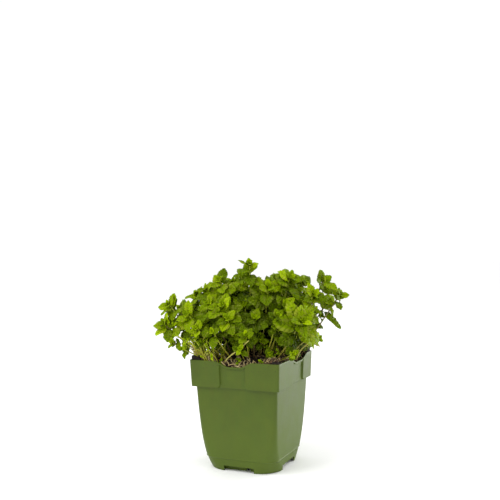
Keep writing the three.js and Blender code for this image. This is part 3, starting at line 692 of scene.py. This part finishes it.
def fibre(skin, draw, place, lay):
    """A fibre that starts in the soil at a place and bends over it, lifted along its middle."""
    way, reach = draw.uniform(0, 2 * math.pi), draw.uniform(*lay["reach"])
    bend, lifts = draw.uniform(-lay["bend"], lay["bend"]), lay["lifts"]
    lift = draw.uniform(*(lifts[0] if len(lifts) == 1 or draw.random() < 0.5 else lifts[1]))
    path, line = [on_soil(*place, -lay["depth"])], lay["line"]
    for share in lay["shares"]:
        angle = way + bend * share
        x = max(-line, min(line, place[0] + reach * share * math.cos(angle)))
        y = max(-line, min(line, place[1] + reach * share * math.sin(angle)))
        path.append(on_soil(x, y, lay["above"] + lift * math.sin(share * lay["bow"])))
    strand(skin, draw, path, draw.uniform(*lay["radius"]))


def anywhere(draw, side):
    """A place on the soil, within this half width."""
    return draw.uniform(-side, side), draw.uniform(-side, side)


def by_the_edge(draw, low, high, spread, at_front):
    """A place near the soil's front edge or its right one, between two ends."""
    along, inward = draw.uniform(low, high), abs(draw.gauss(0, spread))
    return (along, inward - SOIL_SIDE) if draw.random() < at_front else (SOIL_SIDE - inward, along)


def litter_pieces():
    """What lies on the soil and in it: crumbs, chips of bark, and straw and roots that poke out of it."""
    draw = random.Random(11)
    crumb_skin, bark_skin, straw_skin = Skin("tone"), Skin("tone"), Skin("tone")
    for _ in range(CRUMBS):
        lump(crumb_skin, draw, anywhere(draw, SOIL_SIDE), 0, CRUMB)
    for _ in range(CHIPS):
        lump(bark_skin, draw, anywhere(draw, SOIL_SIDE - 1), 0.4, CHIP)
    for _ in range(FIBRES):
        fibre(straw_skin, draw, anywhere(draw, SOIL_SIDE - 2), INSIDE_FIBRE)
    # along the front and right edges lie more straw and bark, some of it higher than the dips in the rim
    for _ in range(EDGE_FIBRES):
        place = by_the_edge(draw, low=-44, high=50, spread=5, at_front=0.62)
        fibre(straw_skin, draw, place, EDGE_FIBRE)
    for _ in range(EDGE_CHIPS):
        place = by_the_edge(draw, low=-50, high=52, spread=6, at_front=0.55)
        lump(bark_skin, draw, place, 0.6, EDGE_CHIP)
    for corner, chips, highest in CORNER_CHIPS:
        for _ in range(chips):
            place = [corner * (1 - abs(draw.gauss(0, 0.14))) for _ in "xy"]
            lump(bark_skin, draw, place, draw.uniform(0.3, highest), CORNER_CHIP)
    # short pale stubs of straw stand up along the front, the tallest at its left end
    for _ in range(STUBS):
        x, y = draw.uniform(-SOIL_SIDE, 20), abs(draw.gauss(0, 6)) - SOIL_SIDE
        way = np.array([draw.gauss(0, 3.2), draw.gauss(-0.5, 1.6), draw.uniform(*STUB_HEIGHT)])
        way[2] += TALLER * (x < TALLER_BEFORE)
        bow = np.array([draw.gauss(0, 1.0), draw.gauss(0, 0.5), 0.0])
        foot = on_soil(x, y, -0.8)
        path = [foot, foot + way * 0.5 + bow, foot + way]
        strand(straw_skin, draw, path, draw.uniform(*STUB_RADIUS), STUB_TONE)
    for name, skin, finish, crisp in (("soil_crumbs", crumb_skin, SOIL_FINISH, 70),
                                      ("bark_chips", bark_skin, BARK_FINISH, 50),
                                      ("straw_fibres", straw_skin, STRAW_FINISH, 70)):
        make_piece(name, skin.mesh(name, [finish], crisp), "soil")


soil_piece()
litter_pieces()

# The old growth
OLD_GROWTH = (
    ("dry_stalk_1", 1.0, ((-37, -35, 121), (-28.3, -39, 133.5), (-16, -45, 144), (-4, -51, 155))),
    ("dry_stalk_2", 0.9, ((40, -14, 122), (48, -13, 136), (57, -12, 145), (69, -12, 152))),
    ("dry_stalk_3", 1.0, ((-58, -14, 122), (-61, -18, 134), (-59, -24, 145))),
    ("dry_stalk_4", 0.9, ((26, 38, 123), (28, 41, 136), (33, 44, 148))),
    ("old_runner", 1.1, ((50, -6, 124), (57, -8, 138), (67, -9, 145), (78, -12, 142))),
)
OLD_TAPER = 0.35
OLD_RINGS, OLD_SIDES = 40, 12


def old_growth_piece(name, radius, path):
    """A dry square stalk or runner: shrunk between its joints, ridged, and torn at its open end."""
    points = smooth_path([from_front(p) for p in path], OLD_RINGS)
    ways = np.gradient(points, axis=0)
    number = len(name) * 7 + int(radius * 10)
    rings = []
    for i, (point, way) in enumerate(zip(points, ways)):
        first, second = sideways(unit(way))
        share = i / (OLD_RINGS - 1)
        joint = math.exp(-(((share * 3) % 1 - 0.5) / 0.07) ** 2)
        thick = radius * (1 - OLD_TAPER * share) * (0.86 + 0.24 * joint)
        ring = []
        for k in range(OLD_SIDES):
            angle = 2 * math.pi * k / OLD_SIDES
            square = 0.9 / (abs(math.cos(angle)) ** 4 + abs(math.sin(angle)) ** 4) ** 0.25
            ridge = 1 + 0.1 * (2 * chance(k, 3, number) - 1) + 0.05 * (2 * chance(i, k, number) - 1)
            torn = (share == 1) * 1.6 * radius * (chance(k, 8, number) - 0.4)
            out = first * math.cos(angle) + second * math.sin(angle)
            ring.append(point + out * thick * square * ridge + unit(way) * torn)
        rings.append(ring)
    skin = Skin("tone")
    skin.loft(rings, end=points[-1] - unit(ways[-1]) * radius, tone=chance(number, 1, 1))
    make_piece(name + "_fibrous", skin.mesh(name, [STALK_FINISH], 55), "dry_stem", name)


for old_growth in OLD_GROWTH:
    old_growth_piece(*old_growth)

# The shoots
ROOT_SHARE, ROOT_REACH, ROOTED = 0.42, 46, 9
KNEE_OUT, KNEE_UP = 0.5, 0.42
STEM_FOOT, STEM_TIP = 1.25, 0.9
STRAY = {"around": 14, "lift": 10, "length": 0.12, "breadth": 0.05, "fold": 14, "droop": 0.22}
LEAF_BREADTH, LEAF_FOLD, LEAF_DROOP, DROOP_SHORTENS = 0.35, 12, 0.1, 0.25
OUTWARD_DROOP, OUTWARD_FACE, UPWARD_FACE = 10, 0.7, 0.3
TO_LIGHT, FAR_OUT, NOD = 1.8, 60, 0.7
LIGHT_SIDE = from_front((0, -1, 0))

# Pairs of leaves from the tip of a shoot down: the place on the stem, degrees of lift, share of full length.
PAIRS = ((0.97, 48, 0.8), (0.91, 26, 1.0), (0.79, 16, 1.0), (0.62, 10, 0.85))
# How a leaf may lie to keep clear of its neighbours: more turn, more lift, share of its length.
TRIES = (
    (0, 0, 1), (0, 16, 1), (0, -16, 1), (22, 0, 1), (-22, 0, 1), (12, 30, 0.9), (-30, 20, 0.85),
    (30, -20, 0.8), (0, 0, 0.7), (-35, -15, 0.65), (25, 40, 0.6),
)
# Each shoot: its tip across, back and above the ground as seen from the plant's front, the length of its
# longest leaf, its pairs of leaves, and the turn of its top pair in degrees.
SHOOTS = (
    (-2, 5, 236, 22, 4, 24), (-36, 5, 217, 24, 4, 75), (-21, 30, 214, 19, 4, 10), (27, 38, 216, 21, 4, 60),
    (44, 8, 219, 26, 4, 35), (62, 30, 213, 22, 4, 80), (-16, 12, 204, 22, 4, 45), (84, 14, 215, 25, 2, 159),
    (104, 12, 200, 17, 3, 40), (70, -8, 200, 24, 3, 15), (88, 20, 187, 27, 2, 114), (78, 4, 149, 12, 2, 30),
    (54, -40, 174, 29, 4, 62), (19, -6, 208, 26, 4, 50), (30, -28, 164, 15, 3, 15),
    (29, -42, 182, 13, 3, 85), (45, -48, 139, 12, 2, 40), (-7, -46, 160, 15, 3, 25),
    (-14, -50, 145, 11, 2, 70), (-44, -38, 163, 18, 2, 5), (-28, -36, 178, 18, 4, 40),
    (-62, -34, 167, 16, 3, 55), (10, -22, 150, 13, 2, 0), (18, -48, 139, 8, 2, 45),
    (3, -26, 176, 20, 4, 80), (-32, -22, 190, 25, 4, 30), (-72, -17, 180, 24, 4, 60),
    (-52, 12, 207, 19, 4, 20), (-48, -8, 192, 20, 3, 85), (-65, 25, 201, 19, 4, 50),
    (-96, 3, 191, 20, 4, 24), (-101, -8, 169, 19, 4, 20), (-92, -22, 150, 11, 2, 75),
    (-80, -36, 145, 10, 2, 0), (-84, 20, 184, 19, 3, 35), (8, 22, 200, 22, 4, 65), (-8, -8, 190, 20, 3, 0),
    (38, -14, 190, 20, 3, 75), (52, 14, 194, 22, 3, 55), (20, 50, 204, 22, 4, 15),
    (-12, 54, 207, 22, 4, 70), (-42, 50, 198, 21, 4, 30), (48, 42, 194, 21, 4, 85),
    (66, 21, 180, 20, 4, 45), (-70, 50, 178, 19, 4, 5), (30, 52, 176, 20, 4, 50), (2, 62, 182, 20, 4, 80),
    (-30, 68, 174, 20, 4, 20), (-56, 64, 160, 18, 3, 60), (10, 58, 154, 14, 2, 35),
    (-20, 64, 150, 13, 2, 75),
)
TIP_MATCH = 0.08  # a leaf of the solid model is found by its tip, to this many millimetres
# A shoot's leaves are numbered: those of its solid from 0, and its others from these numbers.
BETWEEN_LEAVES, BUD_LEAVES, BRANCH_LEAVES, SUCKER_LEAVES = 40, 60, 100, 300
# Leaves, each by its shoot and its number there, that are slimmer, shorter or rounder than the rule for the
# others makes them: shares of length and of breadth.
RESHAPED = {
    (1, 0): (0.75, 0.7), (1, 1): (1.25, 0.6), (1, 40): (0.62, 0.65), (9, 5): (0.5, 0.8), (11, 3): (1.2, 0.6),
    (13, 6): (0.5, 0.55), (17, 1): (1.1, 1.5), (17, 2): (1.0, 1.5), (17, 3): (0.65, 1.5),
}

STEM_RINGS, STEM_SIDES = 30, 12
SLIM_BELOW = 20  # the stem of a shoot whose leaves are shorter than this is slimmer than its plain solid
SUNNED_FROM = 80  # the stems of the shoots that lean out farther than this to the right are flushed purple
TWIG_RINGS, TWIG_SIDES = 9, 6
PETIOLE = 0.1  # share of a leaf's length that is its stalk
STALK_RINGS, STALK_HALF, STALK_THICK = (0.0, 0.5, 0.95), 0.55, 0.42
BLADE_THICK = 0.3
QUILT, VEIN_GROOVE, QUILTED = 2.4, 0.3, 24  # height of the pillows and depth of the groove at this length
LEAF_WAVE, LEAF_TWIST = 0.13, 0.45  # the edges' wave as a share of the half width, and the blade's turn
ARCH_LEAST, ARCH_MORE = 0.3, 0.4  # how far the edges bend down: the least, and up to how much more
RIPPLES_LEAST, RIPPLES_MORE = 7, 6  # the same for how closely the waves follow each other
TOOTH_DEPTH, TOOTH_FORWARD = 0.16, 0.9  # depth as a share of the leaf's half width, and lean to the tip
LOW_TOOTH, TEETH_SHRINK = 1.15, 0.6  # shares of that depth: at the leaf's foot, and how much less at its tip
TEETH_FROM, TEETH_ALONG, TOOTH_RISE = 0.09, 0.87, 0.72  # their start and length, and each tooth's peak
# How finely a leaf is made: the teeth along each edge, and the lines of points from its midrib to its edge.
LARGE_LEAF = (8, (0.0, 0.14, 0.55, 1.0))
MIDDLE_LEAF = (6, (0.0, 0.16, 0.6, 1.0))
SMALL_LEAF = (4, (0.0, 0.55, 1.0))
TINY_LEAF = (3, (0.0, 0.55, 1.0))
FULLER = 0.9  # the breadth of a toothed leaf between its teeth, as a share of its plain solid's

# Leaves between the pairs of the solid model: place on the stem, lift, share of full length, and turn.
BETWEEN = (
    (0.945, 36, 0.9, 45), (0.865, 22, 1.0, 40), (0.72, 20, 0.95, 50), (0.55, 22, 0.75, 20),
    (0.46, 26, 0.62, 70), (0.36, 30, 0.5, 10),
)
# How many pairs of them a shoot has, by its own pairs: few where the plant is open, most at its back.
FEW_BETWEEN, SOME_BETWEEN, MOST_BETWEEN = {4: 2, 3: 1, 2: 0}, {4: 4, 3: 1, 2: 0}, {4: 6, 3: 5, 2: 3}
OPEN_SIDE, OPEN_FRONT, BEHIND = 72, -20, 12  # tips farther across, nearer, and farther back than these
HEART, HEART_HEIGHT = (92, 80, 105), 122  # half sizes of the egg inside which the leaves are painted a deeper green as painted shade, and its middle
# How old and how shaded a shoot's leaves are painted: the uppermost, more for each pair below it as they
# grow old, and more in the plant's heart, where the extra darkness is painted shade.
SOLID_AGE_AND_SHADE, BETWEEN_AGE_AND_SHADE, BUD_AGE = (0.2, 0.12, 0.5), (0.25, 0.07, 0.55), 0.06
AGE_STRAY, LOW_YOUNGER, LOW_TIPS = 0.2, 0.2, (185, 140)  # tips from the first height down are younger
BRANCHED, BRANCH_LEAF = 0.7, 0.42  # share of the low leaves with a side shoot, and the size of its leaves
BRANCH_LEAST, BRANCH_MORE = 0.35, 0.4  # its reach, as a share of the shoot's longest leaf
TIP_BUD = ((0.985, 66, 0.5), (0.995, 72, 0.34), (1.0, 80, 0.22))  # place, lift and share
SPROUT_PAIRS = ((1.0, 58, 0.6), (0.97, 34, 1.0), (0.74, 22, 0.95), (0.5, 14, 0.7))


class Stem:
    """The bent line of a stem, from its foot over its knee to its tip."""

    def __init__(self, root, knee, end):
        self.root, self.knee, self.end = root, knee, end

    def point(self, t):
        return self.root * (1 - t) ** 2 + self.knee * 2 * t * (1 - t) + self.end * t * t

    def way(self, t):
        return unit((self.knee - self.root) * (1 - t) + (self.end - self.knee) * t)

    def outward(self):
        """The level way that its leaves turn to: out from the plant's middle, and towards the light."""
        out = self.end * (1, 1, 0) / max(FAR_OUT, math.hypot(self.end[0], self.end[1]))
        return unit(out + LIGHT_SIDE * TO_LIGHT)


def shoot_stem(tip):
    """A shoot rises from its foot in the soil and bends out to its tip."""
    end = from_front(tip)
    root = end * (1, 1, 0) * ROOT_SHARE
    root = root * min(1, ROOT_REACH / max(abs(root[0]), abs(root[1])))
    root[2] = soil_top(root[0], root[1]) - ROOTED
    knee = root + (end - root) * KNEE_OUT
    knee[2] = root[2] + (end[2] - root[2]) * KNEE_UP
    return Stem(root, knee, end)


def leaf_plan(stem, turn, size, number, leaf, at, lift, share, attempt=(0, 0, 1)):
    """Where one leaf springs from its stem, how it lies, and its size."""
    around = math.radians(turn + stray(number, leaf, 1, STRAY["around"]) + attempt[0])
    outward = stem.outward()
    along = unit(stem.way(at) + outward * NOD)
    first, second = sideways(along)
    out = first * math.cos(around) + second * math.sin(around)
    hang = OUTWARD_DROOP * max(0.0, float(out @ outward))
    raised = math.radians(lift + stray(number, leaf, 2, STRAY["lift"]) + attempt[1] - hang)
    direction = out * math.cos(raised) + along * math.sin(raised)
    upper = along * math.cos(raised) - out * math.sin(raised) + outward * OUTWARD_FACE
    upper[2] += UPWARD_FACE
    across = unit(np.cross(direction, upper))
    length = size * share * (1 + stray(number, leaf, 3, STRAY["length"])) * attempt[2]
    return {
        "base": stem.point(at), "direction": direction, "across": across,
        "upper": np.cross(across, direction), "length": length,
        "half": length * (LEAF_BREADTH + STRAY["breadth"] * chance(number, leaf, 4)),
        "fold": math.radians(LEAF_FOLD + STRAY["fold"] * chance(number, leaf, 5)),
        "droop": LEAF_DROOP + STRAY["droop"] * chance(number, leaf, 6), "seed": number * 31 + leaf,
    }


def middle_line(leaf, s):
    """Points of a leaf's midrib, for shares of its length."""
    s = np.asarray(s, float)[..., None]
    out = leaf["direction"] * leaf["length"] * s * (1 - DROOP_SHORTENS * leaf["droop"] * s)
    return leaf["base"] + out - leaf["upper"] * leaf["length"] * leaf["droop"] * s * s


def blade_width(t):
    """Half width of the blade as a share of its widest, for shares of the blade's length: egg-shaped."""
    return t ** 0.55 * (1 - t) ** 0.85 / 0.391


def add_leaf(skin, leaf, age, made):
    """A leaf with its stalk: an egg-shaped blade with forward teeth, folded a little along the midrib, its
    edges arched down and waved, and the blade pillowed up between its side veins."""
    teeth_count, lines = made
    t, tooth = [0.015, 0.05], [0, 0]
    for k in range(teeth_count):
        start, step = TEETH_FROM + TEETH_ALONG * k / teeth_count, TEETH_ALONG / teeth_count
        t += [start, start + TOOTH_RISE * step]
        tooth += [0, 1]
    t, tooth, lines = np.array(t), np.array(tooth), np.array(lines)
    seed, length, half = leaf["seed"], leaf["length"], leaf["half"] * FULLER

    # Down the leaf, a row for each ring: shares along the leaf (s) and the blade (t), half width, and tooth.
    stalk = np.zeros(len(STALK_RINGS))
    stalk_half = min(STALK_HALF, 0.07 * half + 0.1)
    s = np.concatenate([np.array(STALK_RINGS) * PETIOLE, PETIOLE + (1 - PETIOLE) * t])
    wide = np.concatenate([stalk + stalk_half, np.maximum(half * blade_width(t), stalk_half)])[:, None]
    tooth = np.concatenate([stalk, tooth * TOOTH_DEPTH * (LOW_TOOTH - TEETH_SHRINK * t)])[:, None]
    t = np.concatenate([stalk, t])[:, None]

    # Round a ring, over the upper face and back under the lower one: shares of the half width, from -1 to 1.
    top = np.concatenate([-lines[::-1], lines[1:]])
    q = np.concatenate([top, top[-2:0:-1]])[None, :]
    out = np.abs(q)
    under = (np.arange(q.size) >= len(top) - 1).astype(int)
    face = np.where(np.arange(q.size) < len(top), 1, -1)

    rim = smooth(0.6, 1.0, out)
    x = wide * q * (1 + tooth * rim)
    forward = tooth * rim * half * TOOTH_FORWARD
    blade = smooth(0.0, 0.12, t)
    pillow = np.sin(np.pi * (t * VEIN_PAIRS - VEIN_SLANT * out)) ** 2 * (1 - out ** 3) * blade * (1 - t ** 4)
    groove = np.exp(-((q / 0.1) ** 2)) * blade
    arch = (out * 0.55 - q ** 2) * (ARCH_LEAST + ARCH_MORE * chance(seed, 2, 9)) * wide
    ripples = RIPPLES_LEAST + RIPPLES_MORE * chance(seed, 3, 9)
    ripple = np.sin(t * ripples + 6.28 * chance(seed, 4, 9) + np.sign(q) * 1.9)
    wave = ripple * LEAF_WAVE * half * q ** 2 * blade
    relief = (QUILT * pillow - VEIN_GROOVE * groove) * length / QUILTED + arch * blade + wave
    thick = np.where(t > 0, BLADE_THICK * (1 - 0.75 * q ** 2), STALK_THICK)
    above = relief + np.where(out == 1, 0, face * thick / 2)

    twist = (2 * chance(seed, 5, 9) - 1) * LEAF_TWIST * t[..., None]
    across = leaf["across"] * np.cos(twist) + leaf["upper"] * np.sin(twist)
    upper = leaf["upper"] * np.cos(twist) - leaf["across"] * np.sin(twist)
    rings = middle_line(leaf, s)[:, None, :] + across * (x * math.cos(leaf["fold"]))[..., None]
    rings = rings + upper * (np.abs(x) * math.sin(leaf["fold"]) + above)[..., None]
    rings = rings + leaf["direction"] * forward[..., None]
    skin.loft(rings, under, end=middle_line(leaf, 1.0), along=t, across=q, age=float(np.clip(age, 0, 1)),
              tone=chance(seed, 6, 9))


def add_stem(skin, stem, turn, joints, tone, radii, rings, sides, from_rise=0.0):
    """A square stem with rounded corners, thicker at its joints, a flat towards each pair of leaves."""
    places = sorted(set(np.linspace(0, 1, rings)) | {j + d for j in joints for d in (-0.008, 0, 0.008)})
    places = [t for t in places if 0 <= t <= 1]
    levels = []
    for t in places:
        along = stem.way(t)
        first, second = sideways(along)
        swell = 1 + sum(0.38 * math.exp(-((t - j) / 0.009) ** 2) for j in joints)
        radius = (radii[0] + (radii[1] - radii[0]) * t) * swell
        ring = []
        for k in range(sides):
            angle = 2 * math.pi * k / sides
            square = 0.76 / (abs(math.cos(angle)) ** 5 + abs(math.sin(angle)) ** 5) ** 0.2
            facing = angle + math.radians(turn)
            out = first * math.cos(facing) + second * math.sin(facing)
            ring.append(stem.point(t) + radius * square * out)
        levels.append(ring)
    rise = from_rise + (1 - from_rise) * np.array(places)
    skin.loft(levels, 2, end=stem.point(1) + stem.way(1) * radii[1] / 2, along=rise[:, None], tone=tone)


def add_sprout(skin, stem, turn, size, pairs, number, first_leaf, age, from_rise=0.55, thicker=0.0):
    """A young side shoot or sucker: a thin stem with a few pairs of small leaves."""
    for pair, (at, lift, share) in enumerate(SPROUT_PAIRS[:pairs]):
        for leaf, own_turn in both_sides(pair, first_leaf, turn):
            small = leaf_plan(stem, own_turn, size, number, leaf, at, lift, share)
            # painted shade: small leaves deep in the plant are painted darker
            shaded = 0.4 * heart_shade_share(small["base"])
            add_leaf(skin, small, age + shaded + 0.05 * pair + stray(number, leaf, 8, 0.06), TINY_LEAF)
    thick = min(0.62, 0.2 + 0.035 * size) + thicker
    add_stem(skin, stem, turn, [], 0.7 * chance(number, first_leaf, 9), (thick, 0.6 * thick), TWIG_RINGS,
             TWIG_SIDES, from_rise)


def heart_shade_share(place):
    """How deep inside the plant a leaf is, from 0 at its outside to 1, where the leaves are painted darkest
    as painted shade.
    """
    away = (place - (0, 0, HEART_HEIGHT)) / HEART
    return float(smooth(0.95, 0.55, math.sqrt(away @ away)))


def chosen_lie(points, plans):
    """The lie whose tip is a corner of the solid model's shoot, or nothing where it has no such leaf."""
    gaps = [np.linalg.norm(points - middle_line(plan, 1.0), axis=1).min() for plan in plans]
    nearest = int(np.argmin(gaps))
    return plans[nearest] if gaps[nearest] < TIP_MATCH else None


def reshaped(plan, number, leaf):
    """The plan of a leaf, with that leaf's own shares of length and breadth where it has any."""
    longer, broader = RESHAPED.get((number + 1, leaf), (1, 1))
    return dict(plan, length=plan["length"] * longer, half=plan["half"] * broader)


def both_sides(row, first, turn):
    """The number and turn of each leaf of a pair: opposite the other one, and square to the pair before."""
    for side in (0, 1):
        yield first + row * 2 + side, turn + row * 90 + side * 180


def grown_age(plan, number, leaf, row, low, ages):
    """How old and shaded a leaf is painted, from 0 to 1: older down the shoot, younger on a low shoot, and
    darker in the plant's heart, which is painted shade.
    """
    youngest, each_row, heart_shade = ages
    age = youngest + each_row * row - LOW_YOUNGER * low + heart_shade * heart_shade_share(middle_line(plan, 0.6))
    return age + stray(number, leaf, 7, AGE_STRAY)


def solid_corners(name):
    """The corners of a node's solid, in millimetres."""
    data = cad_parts[name].data
    corners = np.zeros(len(data.vertices) * 3, np.float32)
    data.vertices.foreach_get("co", corners)
    return corners.reshape(-1, 3) / MM


def branch(stem, plan, reach):
    """The line of a side shoot that springs from the angle of a leaf."""
    root, along = plan["base"], stem.way(1)
    return Stem(root, root + (plan["direction"] * 0.5 + along * 0.15) * reach,
                root + (plan["direction"] * 0.75 + along * 0.7) * reach)


def shoot_piece(number, shoot, suckers):
    """One shoot: the leaves of its solid, with side shoots in their angles, more leaves between them, a bud
    at its tip, its stem, and the suckers that stand near it."""
    across, back, up, size, pairs, turn = shoot
    name = f"mint_shoot_{number + 1:02d}"
    corners = solid_corners(name)
    stem = shoot_stem((across, back, up))
    skin = Skin(*LEAF_READS)
    low = smooth(*LOW_TIPS, up)
    for pair, (at, lift, share) in enumerate(PAIRS[:pairs]):
        for leaf, own_turn in both_sides(pair, 0, turn):
            plans = [leaf_plan(stem, own_turn, size, number, leaf, at, lift, share, lie) for lie in TRIES]
            plan = chosen_lie(corners, plans)
            if plan:
                age = grown_age(plan, number, leaf, pair, low, SOLID_AGE_AND_SHADE)
                add_leaf(skin, reshaped(plan, number, leaf), age, LARGE_LEAF)
            if pair > 1 and chance(number, leaf, 12) < BRANCHED:
                reach = size * (BRANCH_LEAST + BRANCH_MORE * chance(number, leaf, 13))
                add_sprout(skin, branch(stem, plans[0], reach), own_turn + 90, size * BRANCH_LEAF, 3, number,
                           BRANCH_LEAVES + 10 * leaf, 0.2)
    is_open = abs(across) > OPEN_SIDE or back < OPEN_FRONT
    between = (FEW_BETWEEN if is_open else MOST_BETWEEN if back > BEHIND else SOME_BETWEEN)[pairs]
    for extra, (at, lift, share, more_turn) in enumerate(BETWEEN[:between]):
        for leaf, own_turn in both_sides(extra, BETWEEN_LEAVES, turn + more_turn):
            plan = leaf_plan(stem, own_turn, size, number, leaf, at, lift, share)
            age = grown_age(plan, number, leaf, extra, low, BETWEEN_AGE_AND_SHADE)
            add_leaf(skin, reshaped(plan, number, leaf), age, MIDDLE_LEAF)
    for row, (at, lift, share) in enumerate(TIP_BUD):
        for leaf, own_turn in both_sides(row, BUD_LEAVES, turn + 90):
            plan = leaf_plan(stem, own_turn, size, number, leaf, at, lift, share)
            add_leaf(skin, plan, BUD_AGE, SMALL_LEAF)
    slim = min(1.0, max(0.5, size / SLIM_BELOW))
    tone = 1.0 if across > SUNNED_FROM else chance(number, 1, 77)
    joints = [at for at, _lift, _share in PAIRS[:pairs]]
    add_stem(skin, stem, turn, joints, tone, (STEM_FOOT * slim, STEM_TIP * slim), STEM_RINGS, STEM_SIDES)
    for k, (foot, tip, leaf_size, sucker_pairs, age, thicker) in enumerate(suckers):
        knee = foot + (tip - foot) * SUCKER_KNEE
        add_sprout(skin, Stem(foot, knee, tip), 360 * chance(number, k, 21), leaf_size, sucker_pairs, number,
                   SUCKER_LEAVES + 10 * k, age + 0.02 + 0.1 * chance(number, k, 22), 0.1, thicker)
    mesh = skin.mesh(name, [LEAF_UPPER, LEAF_UNDER, STEM_FINISH], 62)
    make_piece(name + "_leafy", mesh, "shoot", name)


SUCKER_ROWS, SUCKER_REACH = 14, 46
CORNER_SUCKERS, BACK_SUCKERS = 90, 36  # more in the corner at the front left, and low ones at the back
SUCKER_EDGES, SUCKER_ROOTED, SUCKER_KNEE = (-51.0, 49.0), 2, (0.3, 0.3, 0.6)
CORNER_SPREAD, BACK_ACROSS, BACK_DEEP = (17, 13), (-48, 48), (34, 49)  # where those of each group stand
SUCKER_HEIGHT, CORNER_TALLER, BEHIND_TALLER, BACK_HEIGHT = (7, 16), (-2, 17), (13, 28), (5, 13)
SUCKER_LEAF, BEHIND_LEAF = (3.2, 5.5), 8.5  # length of their leaves, and how much longer they are behind
THICKET_AT, THICKET_FADE = (-40, -44), (38, 12)  # middle of that corner's thicket, and where it thins out
BEHIND_FADE = (-8, 18)  # the suckers grow from low ones before this stretch to tall ones behind it
BARE_FROM, BARE_BEFORE, BARE_SHARE = -18, 10, 0.9  # most of the soil at the front and right is bare


def grow_suckers():
    """Thin suckers that come up all over the soil, listed by the shoot that stands nearest to each: foot,
    tip, leaf size, pairs of leaves, how old and shaded their leaves are painted, and extra thickness. They
    are tallest at the back, where they fill the plant's foot and their leaves are painted darker as painted
    shade, and thickest and barest in the corner at the front left."""
    stems = [shoot_stem(shoot[:3]) for shoot in SHOOTS]
    found = [[] for _ in SHOOTS]
    draw = random.Random(4)
    cell = 2 * SUCKER_REACH / (SUCKER_ROWS - 1)
    low, high = SUCKER_EDGES
    for place in range(SUCKER_ROWS ** 2 + CORNER_SUCKERS + BACK_SUCKERS):
        row, column = divmod(place, SUCKER_ROWS)
        x = -SUCKER_REACH + column * cell + draw.uniform(-0.4, 0.4) * cell
        y = -SUCKER_REACH + row * cell + draw.uniform(-0.4, 0.4) * cell
        is_low = place >= SUCKER_ROWS ** 2 + CORNER_SUCKERS
        if is_low:
            x, y = draw.uniform(*BACK_ACROSS), draw.uniform(*BACK_DEEP)
        elif row >= SUCKER_ROWS:
            x, y = (low + abs(draw.gauss(0, spread)) for spread in CORNER_SPREAD)
        x, y = max(low, min(high, x)), max(low, min(high, y))
        foot = np.array([x, y, soil_top(x, y) + heap(x, y) - SUCKER_ROOTED])
        corner = smooth(*THICKET_FADE, math.hypot(x - THICKET_AT[0], y - THICKET_AT[1]))
        behind = smooth(*BEHIND_FADE, y)
        tall = draw.uniform(*SUCKER_HEIGHT) + corner * draw.uniform(*CORNER_TALLER)
        tall += behind * BEHIND_TALLER[(row + column) % 2]
        loose = 0.2 + 0.2 * corner
        lean = np.array([draw.gauss(0, loose) + 0.006 * x, draw.gauss(0, loose) + 0.002 * y, 1.0])
        if is_low:
            tall = draw.uniform(*BACK_HEIGHT)
        leaf_size = draw.uniform(*SUCKER_LEAF) - corner * draw.random() + BEHIND_LEAF * behind
        pairs = 1 + int(2 * draw.random()) if corner > 0.3 else len(SPROUT_PAIRS)
        is_bare = x > BARE_FROM and y < BARE_BEFORE
        if draw.random() < (BARE_SHARE if is_bare else 0):
            continue
        owner = min(range(len(stems)), key=lambda i: np.linalg.norm(stems[i].root[:2] - foot[:2]))
        # painted shade: the suckers behind are given darker leaves, for the shade at the plant's foot
        found[owner].append((foot, foot + lean * tall, leaf_size, pairs, 0.75 * behind, 0.5 * corner))
    return found


for number, (shoot, suckers) in enumerate(zip(SHOOTS, grow_suckers())):
    shoot_piece(number, shoot, suckers)

# The floor and the light
FLOOR_RADIUS, FLOOR_THICK = 6000, 20
FLOOR_BELOW = 0.15  # the floor lies this much under the pot's foot, so that the two never share a plane
SKY_STRENGTH = 1.03
# The soft boxes: name, place and aim in metres, size in metres, and power in watts.
LIGHTS = (("key", (-0.75, -0.9, 1.5), (0, 0, 0.15), 1.1, 14),
          ("right", (0.85, 1.25, 0.35), (0, 0, 0.1), 0.9, 17))


def pale_floor():
    """A plain pale floor: matt painted board, all but white, too evenly rolled to show more than a faint
    change of tone."""
    material, node, place = new_material("matt_white_board")
    rolled = node("TexNoise", {"Vector": place, "Scale": per_metre(400), "Detail": 3.0})
    tone = node("ValToRGB", {0: rolled}, [(0.3, "#fdfdfc"), (0.7, "#ffffff")])
    board = node("BsdfPrincipled", {"Base Color": tone, "Roughness": 0.9, "Specular IOR Level": 0.1})
    node("OutputMaterial", {0: board})
    skin = Skin()
    levels = [(FLOOR_RADIUS, FLOOR_THICK)] + [(radius, FLOOR_BELOW) for radius in (FLOOR_RADIUS, 900, 200)]
    skin.loft([circle(64) * (radius, radius, 0) - (0, 0, depth) for radius, depth in levels])
    add_object("floor", skin.mesh("floor", [material], 60))


def soft_box(name, place, aim, size, power):
    """A square studio light with a white cloth over it."""
    data = bpy.data.lights.new(name, "AREA")
    data.shape, data.size, data.energy = "SQUARE", size, power
    lamp = add_object(name, data)
    way = Vector(place) - Vector(aim)
    lamp.matrix_world = Matrix.Translation(Vector(place)) @ way.to_track_quat("Z", "Y").to_matrix().to_4x4()


def studio():
    scene = bpy.context.scene
    world = bpy.data.worlds.new("studio")
    world.use_nodes = True
    sky = world.node_tree.nodes["Background"]
    sky.inputs["Color"].default_value = linear("#ffffff")
    sky.inputs["Strength"].default_value = SKY_STRENGTH
    scene.world = world
    for light in LIGHTS:
        soft_box(*light)
    scene.view_settings.view_transform = "Standard"


pale_floor()
studio()
